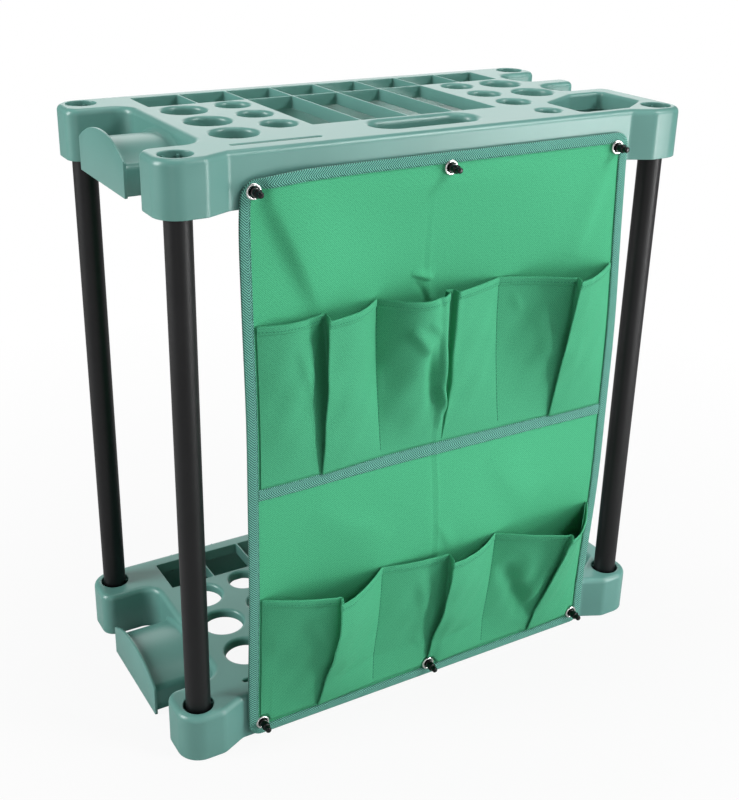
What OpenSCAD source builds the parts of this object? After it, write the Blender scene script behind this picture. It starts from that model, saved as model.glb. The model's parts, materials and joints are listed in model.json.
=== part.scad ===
// Garden tool organizer: two moulded trays on four steel tubes, with a pocketed fabric panel
// pegged to the front. Millimetres, +Z up, the floor at z = 0, the panel on the -Y side.

/* [Trays] */
// Width of a tray over its corner posts
tray_width = 576; // [560:1:620]
// Depth of a tray over its corner posts
tray_depth = 299; // [290:1:340]
// Height of a tray
tray_height = 51; // [46:1:60]
// Height from the underside of the lower tray to the underside of the upper tray
tray_rise = 556.7; // [480:0.1:650]
// Thickness of the outer skirt
skirt = 2.5; // [2:0.1:3]
// Thickness of the top plate
plate = 3; // [2.5:0.1:4]
// Radius of the rounded top edges
edge_round = 6; // [4:0.5:7]
// Width of the flat border inside the rounded top edge
rim_flat = 1.5; // [1:0.1:2]
// Corner radius of the posts, seen from above
post_round = 23.5; // [20:0.5:26]
// Radius of the outer corners beside the notches and slopes
outer_corner = 14; // [10:0.5:15]
// Radius where the front face turns into the slopes
slope_corner = 12; // [8:0.5:13]
// How far the front face lies behind the posts
face_recess = 11.5; // [8:0.5:14]
// Width of a post along the front, with its slope
post_wide = 66; // [62:1:70]
// Slope from the front face out to the flat of a post
post_slope = 24; // [18:1:26]

/* [Notches] */
// Depth of a post beside the wide notch in the left end
left_post_deep = 56.5; // [54:0.5:66]
// Depth of the wide notch
left_notch_deep = 60; // [50:1:62]
// Depth of the two notches in the right end
right_notch_deep = 61; // [50:1:62]
// Distances of the front notch's sides from the back of the tray
front_notch_in = [124, 167.5];
// Distances of the back notch's sides from the back of the tray
back_notch_in = [48.5, 99];
// How far the finger between those notches stops short of the end
finger_short = 4; // [0:1:10]
// Corner radius of the finger's end
finger_corner = 10; // [8:0.5:12]
// Inner corner radius of the notches
notch_round = 19; // [12:1:21]

/* [Hose cradle] */
// Half width of the lip plate
lip_half = 62; // [58:1:70]
// Height of the lip plate at its crown
lip_crown = 50; // [44:1:51]
// Height of the lip plate at its sides
lip_side = 32.5; // [26:0.5:36]
// Thickness of the lip plate
lip_thick = 3; // [2.5:0.5:4]
// How far the saddle stops short of the lip plate, each side
saddle_inset = 7; // [5:1:10]
// How far the crown of the saddle lies below that of the lip plate
saddle_drop = 9; // [7:1:14]
// Radius where the saddle turns down into its skirts
saddle_round = 8; // [5:1:9]

/* [Cells] */
// Distance of the back row of cells from each end
cell_side = 76; // [72:1:88]
// Thickness of the dividers between cells
divider = 2; // [1.5:0.1:3]
// Depth of the cell walls below the top
cell_deep = 13; // [10:1:18]
// Number of cells in the back row
back_cells = 8; // [6:2:8]
// Distances of the back row's sides from the back of the tray
back_row_in = [17.5, 71];
// Number of long cells in the middle
long_cells = 4; // [2:2:4]
// Distance of the long cells from the carrying slot
long_front_gap = 9; // [8:0.5:14]
// Height of the small gussets behind the back row
gusset = 12; // [8:1:16]

/* [Round holes] */
// Width of the web between large holes
large_gap = 15; // [12:1:20]
// Width of the web between small holes
small_gap = 18; // [14:1:22]
// Bore of the single hole at the front
single_bore = 25; // [20:1:27]
// Radius of the rounded rims of the holes
rim_round = 3.5; // [2:0.5:4]
// Wall of the collars under the holes
collar = 2; // [1.5:0.1:2.5]
// Depth of the collars below the top
collar_deep = 10; // [8:1:16]
// Distance of the large holes from the front face and from the back row of cells
large_margin = [47, 7.5];
// Shares of the free width on the left: by the notch, between the holes, by the long cells
left_parts = [20, 16, 8];
// Shares of the free width on the right: by the notches, between the holes, by the long cells
right_parts = [10.5, 15, 17.5];
// Distance of the small holes from the line of the long cells' front and back
small_margin = [1, 3.5];
// Distance of the single hole's middle from the front face
single_front = 35; // [30:1:38]
// Distance of the single hole's middle from the six-sided opening
single_side = 27.5; // [25:0.5:30]

/* [Other openings] */
// Half length of the carrying slot behind the front bar
handle_half = 57; // [50:1:60]
// Distances of the carrying slot's sides from the front face
handle_in = [25, 63];
// Wall round the carrying slot
handle_wall = 2.5; // [2:0.1:3]
// Depth of the wall round the carrying slot
handle_deep = 24; // [16:1:30]
// Distance of the narrow slot from the left post
thin_side = 12; // [8:1:16]
// Length of the narrow slot
thin_length = 88; // [70:1:96]
// Distance of the narrow slot's middle from the front face
thin_in = 23; // [18:1:26]
// Width of the narrow slot
thin_slot = 4; // [3:0.5:6]
// Radius of the narrow slot's rim
slot_round = 1; // [0.5:0.1:1.5]
// Distances of the six-sided opening's sides from the right end
six_in = [24, 118];
// Distance of the six-sided opening from the front of the posts
six_front = 25.5; // [24:0.5:30]
// Distance of the six-sided opening from the front notch
six_back = 22; // [18:1:26]
// Corner cut of the six-sided opening at its back left
six_back_cut = [52, 28];
// Corner cut of the six-sided opening at its front right
six_front_cut = [36, 24];
// Corner radius of the six-sided opening
six_round = 6; // [4:1:8]
// Depth of the wall round the six-sided opening
six_deep = 18; // [12:1:24]

/* [Tubes and sockets] */
// Outer diameter of the tubes
tube_d = 25; // [22:0.5:26]
// Wall of the tubes
tube_wall = 1.2; // [1:0.1:2]
// Distance from the tray's outer faces to the middle of a socket
socket_inset = 23.5; // [22:0.5:25]
// Bore of a socket at its mouth
socket_bore = 30.4; // [29:0.1:31]
// Wall of a socket
socket_wall = 2.6; // [2:0.1:3]
// Gap between the tube and the grip ribs
grip_gap = 0.2; // [0.1:0.05:0.3]
// Number of grip ribs round a socket
grips = 6; // [4:1:8]
// Width of a grip rib
grip_width = 2; // [1.5:0.1:3]
// How far the grip ribs start inside the mouth
grip_start = 8; // [5:1:10]
// Height of the middle of the stop web above the tray's underside
stop_height = 24; // [18:1:28]
// Thickness of the stop web
stop_thick = 2.5; // [2:0.1:4]
// Bore through the stop web
stop_bore = 14; // [8:1:18]

/* [Pegs and eyelets] */
// Distance of the outer pegs from the slopes of the posts
peg_side = 20; // [16:1:26]
// Height of a peg above its tray's underside
peg_height = 16; // [15:0.5:20]
// Diameter of a peg's body
peg_d = 8.5; // [7:0.1:9]
// Diameter of a peg's tip
peg_tip_d = 6; // [5:0.1:6.5]
// How far a peg stands out from the front face
peg_out = 21; // [17:0.5:24]
// Length of a peg's tip
peg_tip = 6; // [4:0.5:8]
// Bevel round the end of a peg's body
peg_bevel = 1; // [0.5:0.1:1.5]
// Length of the step from a peg's body to its tip
peg_step = 1.5; // [1:0.1:2]
// Radius of the rounded end of a peg
peg_end = 2; // [1:0.1:2.5]
// Diameter of the stem through the skirt
stem_d = 6; // [5:0.1:6.5]
// Clearance round the stem
stem_gap = 0.1; // [0.05:0.05:0.2]
// How far the barb stands out beyond the stem
barb = 0.9; // [0.5:0.1:1.2]
// Length of the barb behind the skirt
barb_length = 5; // [4:0.5:8]
// Width of the slit across the barb
barb_slit = 1.4; // [1:0.1:2]
// Outer diameter of the eyelets and their washers
eyelet_d = 15; // [14:0.5:16]
// Clearance between a peg and the eyelet round it
eyelet_gap = 0.25; // [0.2:0.05:0.3]
// Wall of the eyelet's barrel
barrel_wall = 0.5; // [0.4:0.05:0.7]
// Thickness of the eyelet's rolled flange
flange = 1.4; // [1:0.1:2]
// Thickness of the washer
washer = 0.8; // [0.6:0.1:1]

/* [Fabric panel] */
// Distance from an eyelet's middle to the panel's edges
eyelet_inset = 14; // [13.5:0.5:18]
// Thickness of the fabric
cloth = 1; // [0.8:0.1:1.2]
// Gap between layers of fabric
layer_gap = 0.3; // [0.25:0.05:0.4]
// Thickness of the binding tape
tape = 0.9; // [0.7:0.1:1.1]
// Width of the binding tape on each face
tape_width = 12; // [9:0.5:12.5]
// Corner radius of the panel
panel_round = 14; // [13.5:0.5:18]
// Height of the middle tape, as a share of the height between the trays
middle_share = 0.511; // [0.49:0.001:0.54]
// Height of the lower pockets above the binding
lower_pocket = 154; // [130:1:170]
// Height of the upper pockets above the middle tape
upper_pocket = 161; // [130:1:170]
// Distance of the two sewn seams from the middle, as a share of the outer pegs'
seam_share = 0.3515; // [0.32:0.0005:0.37]
// Depth of the pleat in each pocket
pleat = 16; // [10:1:20]
// Depth of the pleat left at the hem, where it opens
pleat_open = 4; // [3:1:8]
// How far the loose cloth waves back and forward between the trays
wave = 16; // [0:1:20]
// How far the side edges bow forward
bow = 9; // [0:1:14]
// Half width of the rise of a strip's foot round an eyelet
foot_half = 18; // [16:1:22]
// Upper pockets: reach and belly left of the fold, reach and belly right of it
upper_folds = [[2, 8, 19, 8], [24, 22, 27, 0], [27, -4, 39, 2]];
// Lower pockets: reach and belly left of the fold, reach and belly right of it
lower_folds = [[30, 3, 40, -4], [8, 2, 23, 5], [46, 2, 54, 6]];

/* [Hidden] */
$fn = 48;

moulded = [0.50, 0.66, 0.62];
painted = [0.10, 0.10, 0.11];
woven = [0.20, 0.58, 0.40];
taped = [0.22, 0.48, 0.42];
bright = [0.82, 0.82, 0.84];
glossy = [0.05, 0.05, 0.06];

end_x = tray_width / 2;
side_y = tray_depth / 2;
face_y = -side_y + face_recess;
face_half = end_x - post_wide;
cut = 1;
arc_step = 15;
socket_x = end_x - socket_inset;
socket_y = side_y - socket_inset;
grip_r = tube_d / 2 + grip_gap;

// The panel's layers, measured from the middle of its backing cloth towards the front
leg_in = cloth / 2 + layer_gap;
leg_out = leg_in + tape;
flange_back = leg_out + layer_gap;
flange_front = flange_back + flange;
washer_back = flange_back + washer;
sheet_y = face_y - layer_gap - washer_back;
strip_off = cloth + layer_gap;
layer_step = cloth + layer_gap;
barrel_r = peg_d / 2 + eyelet_gap + barrel_wall;

peg_x = face_half - peg_side;
seam_x = seam_share * peg_x;
middle_tape_z = middle_share * tray_rise;
panel_x = peg_x + eyelet_inset;
panel_low = peg_height - eyelet_inset;
panel_high = tray_rise + peg_height + eyelet_inset;
inner_x = panel_x - tape_width - layer_gap;
lower_z = panel_low + tape_width + layer_gap;
upper_z = middle_tape_z + tape_width / 2 + layer_gap;
foot_lift = peg_height + eyelet_d / 2 + 2 - lower_z;

// The pocket that reaches furthest sets the front of the object; the origin is midway in depth
pocket_x = [-(inner_x + seam_x) / 2, 0, (inner_x + seam_x) / 2];
front_most = min(strip_front(upper_folds, upper_z + upper_pocket),
                 strip_front(lower_folds, lower_z + lower_pocket));
rack_y = -(side_y + front_most) / 2;

// Plan of a tray, anticlockwise, as corners with radii
left_in = -end_x + left_notch_deep;
right_in = end_x - right_notch_deep;
left_notch_half = side_y - left_post_deep;
front_notch_y = [side_y - front_notch_in[1], side_y - front_notch_in[0]];
back_notch_y = [side_y - back_notch_in[1], side_y - back_notch_in[0]];
tray_plan = [
    [-face_half, face_y, slope_corner], [face_half, face_y, slope_corner],
    [face_half + post_slope, -side_y, outer_corner], [end_x, -side_y, post_round],
    [end_x, front_notch_y[0], outer_corner],
    [right_in, front_notch_y[0], notch_round], [right_in, front_notch_y[1], notch_round],
    [end_x - finger_short, front_notch_y[1], finger_corner],
    [end_x - finger_short, back_notch_y[0], finger_corner],
    [right_in, back_notch_y[0], notch_round], [right_in, back_notch_y[1], notch_round],
    [end_x, back_notch_y[1], outer_corner],
    [end_x, side_y, post_round], [-end_x, side_y, post_round],
    [-end_x, left_notch_half, outer_corner],
    [left_in, left_notch_half, notch_round], [left_in, -left_notch_half, notch_round],
    [-end_x, -left_notch_half, outer_corner],
    [-end_x, -side_y, post_round], [-face_half - post_slope, -side_y, outer_corner]
];
six_x = [end_x - six_in[1], end_x - six_in[0]];
six_y = [-side_y + six_front, front_notch_y[0] - six_back];
handle_y = [face_y + handle_in[0], face_y + handle_in[1]];
thin_slot_x = [thin_side - face_half, thin_side - face_half + thin_length];
thin_slot_y = face_y + thin_in;
six_plan = [
    [six_x[0], six_y[0], six_round], [six_x[1] - six_front_cut[0], six_y[0], six_round],
    [six_x[1], six_y[0] + six_front_cut[1], six_round], [six_x[1], six_y[1], six_round],
    [six_x[0] + six_back_cut[0], six_y[1], six_round],
    [six_x[0], six_y[1] - six_back_cut[1], six_round]
];
handle_r = (handle_y[1] - handle_y[0]) / 2 - 0.01;
handle_plan = box_plan(-handle_half, handle_half, handle_y[0], handle_y[1], handle_r);
thin_plan = box_plan(thin_slot_x[0], thin_slot_x[1], thin_slot_y - thin_slot / 2,
                     thin_slot_y + thin_slot / 2, thin_slot / 2 - 0.01);

cell_pitch = (tray_width - 2 * cell_side) / back_cells;
cells_half = long_cells * cell_pitch / 2;
back_row_y = [side_y - back_row_in[1], side_y - back_row_in[0]];
long_row_y = [handle_y[1] + long_front_gap, back_row_y[0] - divider];

// Three holes and the two webs between them fill the length of each column
large_span = [face_y + large_margin[0], back_row_y[0] - large_margin[1]];
small_span = [long_row_y[0] + small_margin[0], long_row_y[1] - small_margin[1]];
large_bore = (large_span[1] - large_span[0] - 2 * large_gap) / 3;
small_bore = (small_span[1] - small_span[0] - 2 * small_gap) / 3;
large_y = [for (k = [0:2]) large_span[0] + large_bore / 2 + k * (large_bore + large_gap)];
small_y = [for (k = [0:2]) small_span[0] + small_bore / 2 + k * (small_bore + small_gap)];
left_free = (-cells_half - left_in - large_bore - small_bore)
            / (left_parts[0] + left_parts[1] + left_parts[2]);
right_free = (right_in - cells_half - large_bore - small_bore)
             / (right_parts[0] + right_parts[1] + right_parts[2]);
large_x = [left_in + left_parts[0] * left_free + large_bore / 2,
           right_in - right_parts[0] * right_free - large_bore / 2];
small_x = [-cells_half - left_parts[2] * left_free - small_bore / 2,
           cells_half + right_parts[2] * right_free + small_bore / 2];
large_holes = concat([for (k = [0:2]) [large_x[0], large_y[k]]],
                     [for (k = [1:2]) [large_x[1], large_y[k]]]);
small_holes = [for (x = small_x) for (y = small_y) [x, y]];
single_hole = [six_x[0] - single_side, face_y + single_front];

function box_plan(x0, x1, y0, y1, r) = [[x0, y0, r], [x1, y0, r], [x1, y1, r], [x0, y1, r]];
function unit(v) = v / norm(v);
function spun(v, a) = [v.x * cos(a) - v.y * sin(a), v.x * sin(a) + v.y * cos(a)];

// The arc of one corner, as points that each carry the outward normal
function corner(before, at, after) =
    let (u = unit([at.x - before.x, at.y - before.y]),
         v = unit([after.x - at.x, after.y - at.y]),
         turn = atan2(u.x * v.y - u.y * v.x, u.x * v.x + u.y * v.y),
         side = sign(turn),
         normal = [u.y, -u.x],
         middle = [at.x, at.y] - at[2] * tan(abs(turn) / 2) * u - side * at[2] * normal,
         steps = max(1, ceil(abs(turn) / arc_step)))
    [for (k = [0:steps]) let (n = spun(normal, turn * k / steps))
        [middle.x + side * at[2] * n.x, middle.y + side * at[2] * n.y, n.x, n.y]];
function outline(plan) =
    let (count = len(plan))
    [for (i = [0:count - 1])
        each corner(plan[(i + count - 1) % count], plan[i], plan[(i + 1) % count])];
function grown(points, d) = [for (p = points) [p[0] + d * p[2], p[1] + d * p[3]]];

// Heights and growth of a rounded edge that ends at the given height
function round_steps(top, radius, way) =
    [for (a = [0:30:90]) [top - radius + radius * sin(a), way * radius * (1 - cos(a))]];

// A solid with the same plan at every level, grown or shrunk by level
module layered(points, levels) {
    count = len(points);
    last = len(levels) - 1;
    polyhedron(
        points = [for (l = levels) each [for (p = grown(points, l[1])) [p.x, p.y, l[0]]]],
        faces = concat(
            [[for (i = [0:count - 1]) i]],
            [for (j = [0:last - 1]) for (i = [0:count - 1])
                [j * count + i, (j + 1) * count + i,
                 (j + 1) * count + (i + 1) % count, j * count + (i + 1) % count]],
            [[for (i = [0:count - 1]) last * count + count - 1 - i]]));
}

// The sides of a stack of closed rings, each ring with the same count of points
function stack_faces(rings, count) =
    [for (j = [0:rings - 2]) for (i = [0:count - 1])
        let (a = j * count + i, b = j * count + (i + 1) % count, c = a + count, d = b + count)
        each [[a, c, d], [a, d, b]]];

// Where the middle of the backing cloth lies, front to back
function sheet_line(x, z) =
    let (rise = (z - tray_height) / (tray_rise - tray_height),
         free = rise > 0 && rise < 1,
         middle = pow(cos(90 * x / panel_x), 2))
    sheet_y - (free ? wave * middle * sin(360 * rise) + bow * (1 - middle) * sin(180 * rise) : 0);

// How far forward the hem of a strip of pockets comes
function strip_front(folds, z) = min([for (k = [0:2])
    sheet_line(pocket_x[k], z) - strip_off - cloth / 2
    - max(folds[k][0], folds[k][2] + 2 * layer_step)]);

// One moulding serves as both trays
module tray() {
    points = outline(tray_plan);
    six = outline(six_plan);
    slot = outline(handle_plan);
    thin = outline(thin_plan);
    difference() {
        union() {
            skirt_ring(points);
            translate([0, 0, tray_height - plate]) linear_extrude(plate)
                polygon(grown(points, -edge_round - rim_flat));
            for (h = large_holes) collar_at(h, large_bore);
            for (h = small_holes) collar_at(h, small_bore);
            collar_at(single_hole, single_bore);
            wall_under(slot, handle_wall, handle_deep);
            wall_under(six, collar, six_deep);
            wall_under(thin, collar, collar_deep);
            cell_walls(back_cells, back_row_y);
            cell_walls(long_cells, long_row_y);
            gussets();
            for (sx = [-1, 1]) for (sy = [-1, 1])
                translate([sx * socket_x, sy * socket_y, 0])
                    cylinder(r = socket_bore / 2 + socket_wall, h = tray_height - plate / 2);
            cradle();
        }
        for (h = large_holes) hole_at(h, large_bore, rim_round);
        for (h = small_holes) hole_at(h, small_bore, rim_round);
        hole_at(single_hole, single_bore, rim_round);
        layered(slot, opening_levels(edge_round));
        layered(six, opening_levels(rim_round));
        layered(thin, opening_levels(slot_round));
        cell_cuts(back_cells, back_row_y);
        cell_cuts(long_cells, long_row_y);
        for (sx = [-1, 1]) for (sy = [-1, 1])
            translate([sx * socket_x, sy * socket_y, 0]) socket_cut();
        for (x = [-peg_x, 0, peg_x])
            translate([x, face_y - cut, peg_height]) rotate([-90, 0, 0])
                cylinder(d = stem_d + 2 * stem_gap, h = skirt + 2 * cut);
    }
    for (sx = [-1, 1]) for (sy = [-1, 1])
        translate([sx * socket_x, sy * socket_y, 0]) grip_ribs();
}

// The skirt with its rounded top edge and a narrow border of the plate, swept round the plan
module skirt_ring(points) {
    section = concat([[0, 0]], [for (l = round_steps(tray_height, edge_round, -1)) [l[1], l[0]]],
                     [[-edge_round - rim_flat, tray_height],
                      [-edge_round - rim_flat, tray_height - plate],
                      [-skirt, tray_height - plate], [-skirt, 0]]);
    count = len(section);
    stations = len(points);
    polyhedron(
        points = [for (p = points) for (c = section)
            [p[0] + c[0] * p[2], p[1] + c[0] * p[3], c[1]]],
        faces = [for (j = [0:stations - 1]) for (i = [0:count - 1])
            let (a = j * count + i, b = j * count + (i + 1) % count,
                 k = (j + 1) % stations,
                 c = k * count + i, d = k * count + (i + 1) % count)
            each [[a, b, d], [a, d, c]]]);
}

function opening_levels(radius) =
    concat([[-cut, 0]], round_steps(tray_height, radius, 1), [[tray_height + cut, radius]]);

module collar_at(place, bore) {
    translate([place.x, place.y, tray_height - collar_deep])
        cylinder(r = bore / 2 + collar, h = collar_deep - plate / 2);
}

module hole_at(place, bore, radius) {
    translate([place.x, place.y, 0]) rotate_extrude()
        polygon(concat([[0, -cut], [bore / 2, -cut]],
                       [for (s = round_steps(tray_height, radius, 1)) [bore / 2 + s[1], s[0]]],
                       [[bore / 2 + radius, tray_height + cut], [0, tray_height + cut]]));
}

module wall_under(points, thick, deep) {
    translate([0, 0, tray_height - deep]) linear_extrude(deep - plate / 2)
        polygon(grown(points, thick));
}

module cell_walls(count, row) {
    wide = count * cell_pitch + divider;
    translate([-wide / 2, row[0] - divider, tray_height - cell_deep])
        cube([wide, row[1] - row[0] + 2 * divider, cell_deep - plate / 2]);
}

module cell_cuts(count, row) {
    for (k = [0:count - 1])
        translate([(k - count / 2) * cell_pitch + divider / 2, row[0], -cut])
            cube([cell_pitch - divider, row[1] - row[0], tray_height + 2 * cut]);
}

module gussets() {
    back = side_y - skirt / 2;
    front = back_row_y[1] + divider / 2;
    for (k = [0:back_cells - 1])
        translate([(k - back_cells / 2 + 0.5) * cell_pitch - divider / 2, 0, 0])
            rotate([90, 0, 90]) linear_extrude(divider)
                polygon([[front, tray_height - plate / 2], [back, tray_height - plate / 2],
                         [back, tray_height - cell_deep - gusset],
                         [front, tray_height - cell_deep]]);
}

// A socket is open at both ends, with a web halfway that the tube stops against
module socket_cut() {
    web_top = stop_height + stop_thick / 2;
    web_low = stop_height - stop_thick / 2;
    translate([0, 0, -cut]) cylinder(d = socket_bore, h = web_low + cut);
    translate([0, 0, web_top]) cylinder(d = socket_bore, h = tray_height - web_top + cut);
    cylinder(d = stop_bore, h = tray_height);
}

module grip_ribs() {
    web_top = stop_height + stop_thick / 2;
    web_low = stop_height - stop_thick / 2;
    out = socket_bore / 2 + socket_wall / 2;
    for (level = [[grip_start, web_low + stop_thick / 4],
                  [web_top - stop_thick / 4, tray_height - grip_start]])
        translate([0, 0, level[0]])
            difference() {
                for (k = [0:grips - 1]) rotate([0, 0, 360 * k / grips])
                    translate([grip_r - cut, -grip_width / 2, 0])
                        cube([out - grip_r + cut, grip_width, level[1] - level[0]]);
                translate([0, 0, -cut]) cylinder(r = grip_r, h = level[1] - level[0] + 2 * cut);
            }
}

// Side view of an arched plate: flat below, upright sides, a long arc on top
module arch(half, side, crown) {
    rise = crown - side;
    radius = (half * half + rise * rise) / (2 * rise);
    intersection() {
        translate([-half, 0]) square([2 * half, crown]);
        translate([0, crown - radius]) circle(radius, $fn = 180);
    }
}

module cradle() {
    half = lip_half - saddle_inset;
    crown = lip_crown - saddle_drop;
    translate([-end_x, 0, 0]) rotate([90, 0, 90]) linear_extrude(lip_thick)
        arch(lip_half, lip_side, lip_crown);
    translate([-end_x + lip_thick / 2, 0, 0]) rotate([90, 0, 90])
        linear_extrude(left_notch_deep - lip_thick / 2 + skirt / 2)
            difference() {
                saddle_side(half, crown);
                translate([0, -cut]) saddle_side(half - skirt, crown - skirt + cut);
            }
}

module saddle_side(half, crown) {
    difference() {
        offset(r = saddle_round, $fn = 32) offset(delta = -saddle_round)
            translate([0, -2 * saddle_round]) square_arch(half, crown + 2 * saddle_round);
        translate([-2 * half, -4 * saddle_round]) square([4 * half, 4 * saddle_round]);
    }
}

module square_arch(half, crown) {
    rise = lip_crown - lip_side;
    radius = (lip_half * lip_half + rise * rise) / (2 * rise) - saddle_drop;
    intersection() {
        translate([-half, 0]) square([2 * half, crown]);
        translate([0, crown - radius]) circle(radius, $fn = 120);
    }
}

module bottom_tray() {
    color(moulded) translate([0, rack_y, 0]) tray();
}

module top_tray() {
    color(moulded) translate([0, rack_y, tray_rise]) tray();
}

module tube(side, row) {
    low = stop_height + stop_thick / 2;
    high = tray_rise + stop_height - stop_thick / 2;
    color(painted) translate([side * socket_x, rack_y + row * socket_y, low])
        difference() {
            cylinder(d = tube_d, h = high - low);
            translate([0, 0, -cut])
                cylinder(d = tube_d - 2 * tube_wall, h = high - low + 2 * cut);
        }
}

function peg_z(level) = peg_height + level * tray_rise;

// Round openings through the layers of the panel, one for each eyelet
module eyelet_holes(radius) {
    for (level = [0, 1]) for (x = [-peg_x, 0, peg_x])
        translate([x, sheet_y, peg_z(level)]) rotate([90, 0, 0])
            cylinder(r = radius, h = 2 * eyelet_d, center = true);
}

// Half width of a sheet with rounded corners at height z
function half_at(z, half, low, high, radius) =
    let (into = min(radius, z - low, high - z))
    half - radius + sqrt(radius * radius - pow(radius - into, 2));

// A sheet of cloth that follows the waves of the panel, as a stack of rings
module fabric_back() {
    edge = tape + 2 * layer_gap;
    half = panel_x - edge;
    low = panel_low + edge;
    high = panel_high - edge;
    radius = panel_round - edge;
    across = 16;
    up = 18;
    corner_up = [for (a = [0:30:90]) radius * (1 - cos(a))];
    zs = concat([for (c = corner_up) low + c], [tray_height],
                [for (k = [1:up - 1]) tray_height + (tray_rise - tray_height) * k / up],
                [tray_rise], [for (k = [3:-1:0]) high - corner_up[k]]);
    rings = len(zs);
    count = 2 * (across + 1);
    top = (rings - 1) * count;
    color(woven) translate([0, rack_y, 0]) difference() {
        polyhedron(
            points = [for (z = zs) let (wide = half_at(z, half, low, high, radius)) each concat(
                [for (i = [0:across]) let (x = wide * (2 * i / across - 1))
                    [x, sheet_line(x, z) - cloth / 2, z]],
                [for (i = [across:-1:0]) let (x = wide * (2 * i / across - 1))
                    [x, sheet_line(x, z) + cloth / 2, z]])],
            faces = concat(
                [for (i = [0:across - 1]) each
                    [[i, i + 1, count - 2 - i], [i, count - 2 - i, count - 1 - i]]],
                stack_faces(rings, count),
                [for (i = [0:across - 1]) each
                    [[top + i + 1, top + i, top + count - 1 - i],
                     [top + i + 1, top + count - 1 - i, top + count - 2 - i]]]));
        eyelet_holes(barrel_r + layer_gap);
    }
}

// Stations round the edge of the panel: place in x and z, and the direction inwards
function edge_stations() =
    let (points = outline([
             [-panel_x, panel_low, panel_round], [panel_x, panel_low, panel_round],
             [panel_x, panel_high, panel_round], [-panel_x, panel_high, panel_round]]),
         count = len(points))
    [for (i = [0:count - 1])
        let (p = points[i], q = points[(i + 1) % count],
             run = norm([q[0] - p[0], q[1] - p[1]]),
             steps = max(1, round(run / 32)))
        each [for (k = [0:steps - 1]) let (f = k / steps)
            [p[0] + (q[0] - p[0]) * f, p[1] + (q[1] - p[1]) * f, -p[2], -p[3]]]];

// The binding is one tape folded over the edge, a U in section
module edge_binding() {
    stations = edge_stations();
    fold = tape + layer_gap;
    section = [[0, -leg_out], [tape_width, -leg_out], [tape_width, -leg_in], [fold, -leg_in],
               [fold, leg_in], [tape_width, leg_in], [tape_width, leg_out], [0, leg_out]];
    count = len(section);
    color(taped) translate([0, rack_y, 0]) difference() {
        polyhedron(
            points = [for (s = stations) for (c = section)
                let (x = s[0] + c[0] * s[2], z = s[1] + c[0] * s[3])
                [x, sheet_line(x, z) + c[1], z]],
            faces = [for (j = [0:len(stations) - 1]) for (i = [0:count - 1])
                let (a = j * count + i, b = j * count + (i + 1) % count,
                     k = (j + 1) % len(stations),
                     c = k * count + i, d = k * count + (i + 1) % count)
                each [[a, c, d], [a, d, b]]]);
        eyelet_holes(barrel_r + layer_gap);
    }
}

// The tape across the middle covers the bottom of the upper pockets
module middle_tape() {
    across = 24;
    half = inner_x;
    low = middle_tape_z - tape_width / 2;
    high = middle_tape_z + tape_width / 2;
    color(taped) translate([0, rack_y, 0])
        polyhedron(
            points = [for (i = [0:across]) let (x = half * (2 * i / across - 1))
                each [[x, sheet_line(x, low) - leg_out, low], [x, sheet_line(x, high) - leg_out, high],
                      [x, sheet_line(x, high) - leg_in, high], [x, sheet_line(x, low) - leg_in, low]]],
            faces = concat([[0, 1, 2], [0, 2, 3]],
                [for (j = [0:across - 1]) for (i = [0:3])
                    let (a = j * 4 + i, b = j * 4 + (i + 1) % 4) each
                        [[a, a + 4, b + 4], [a, b + 4, b]]],
                [[across * 4 + 2, across * 4 + 1, across * 4],
                 [across * 4 + 3, across * 4 + 2, across * 4]]));
}

// Plan of one pocket at a share of its height: x, and how far it stands off the backing.
// It runs from the left seam to the fold, back behind itself as a pleat, and on to the right seam.
function pocket_line(left, right, fold, share) =
    let (x = (left + right) / 2, open = sin(90 * share),
         deep = pleat + (pleat_open - pleat) * share, step = layer_step, sides = 5,
         front = fold[2] * open + 2 * step, start = x + deep + 2 * step)
    concat(
        [for (k = [0:sides]) let (f = k / sides)
            [left + (x - left) * f, (fold[0] * f + fold[1] * sin(180 * f)) * open]],
        [[x + deep, fold[0] * open], [x + deep + step / 2, fold[0] * open + step / 2],
         [x + deep, fold[0] * open + step], [x, fold[2] * open + step],
         [x - step / 2, fold[2] * open + 1.5 * step], [x, front]],
        [for (k = [0:sides - 1]) let (f = k / sides)
            [start + (right - start) * f, front * (1 - f) + fold[3] * sin(180 * f) * open]]);

function strip_line(folds, share) = concat(
    pocket_line(-inner_x, -seam_x, folds[0], share),
    pocket_line(-seam_x, seam_x, folds[1], share),
    pocket_line(seam_x, inner_x, folds[2], share), [[inner_x, 0]]);

// Both faces of a line of cloth, as one closed ring
function thick_ring(line) =
    let (last = len(line) - 1,
         sides = [for (i = [0:last])
             let (d = unit(line[min(i + 1, last)] - line[max(i - 1, 0)])) [d.y, -d.x] * cloth / 2])
    concat([for (i = [0:last]) line[i] - sides[i]], [for (i = [last:-1:0]) line[i] + sides[i]]);

// The foot of a strip rises by the lift round each eyelet
function foot(x, low, lift) =
    let (near = min([for (p = [-peg_x, 0, peg_x]) abs(x - p)]))
    low + lift * max(0, 1 - pow(near / foot_half, 2));

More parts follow.
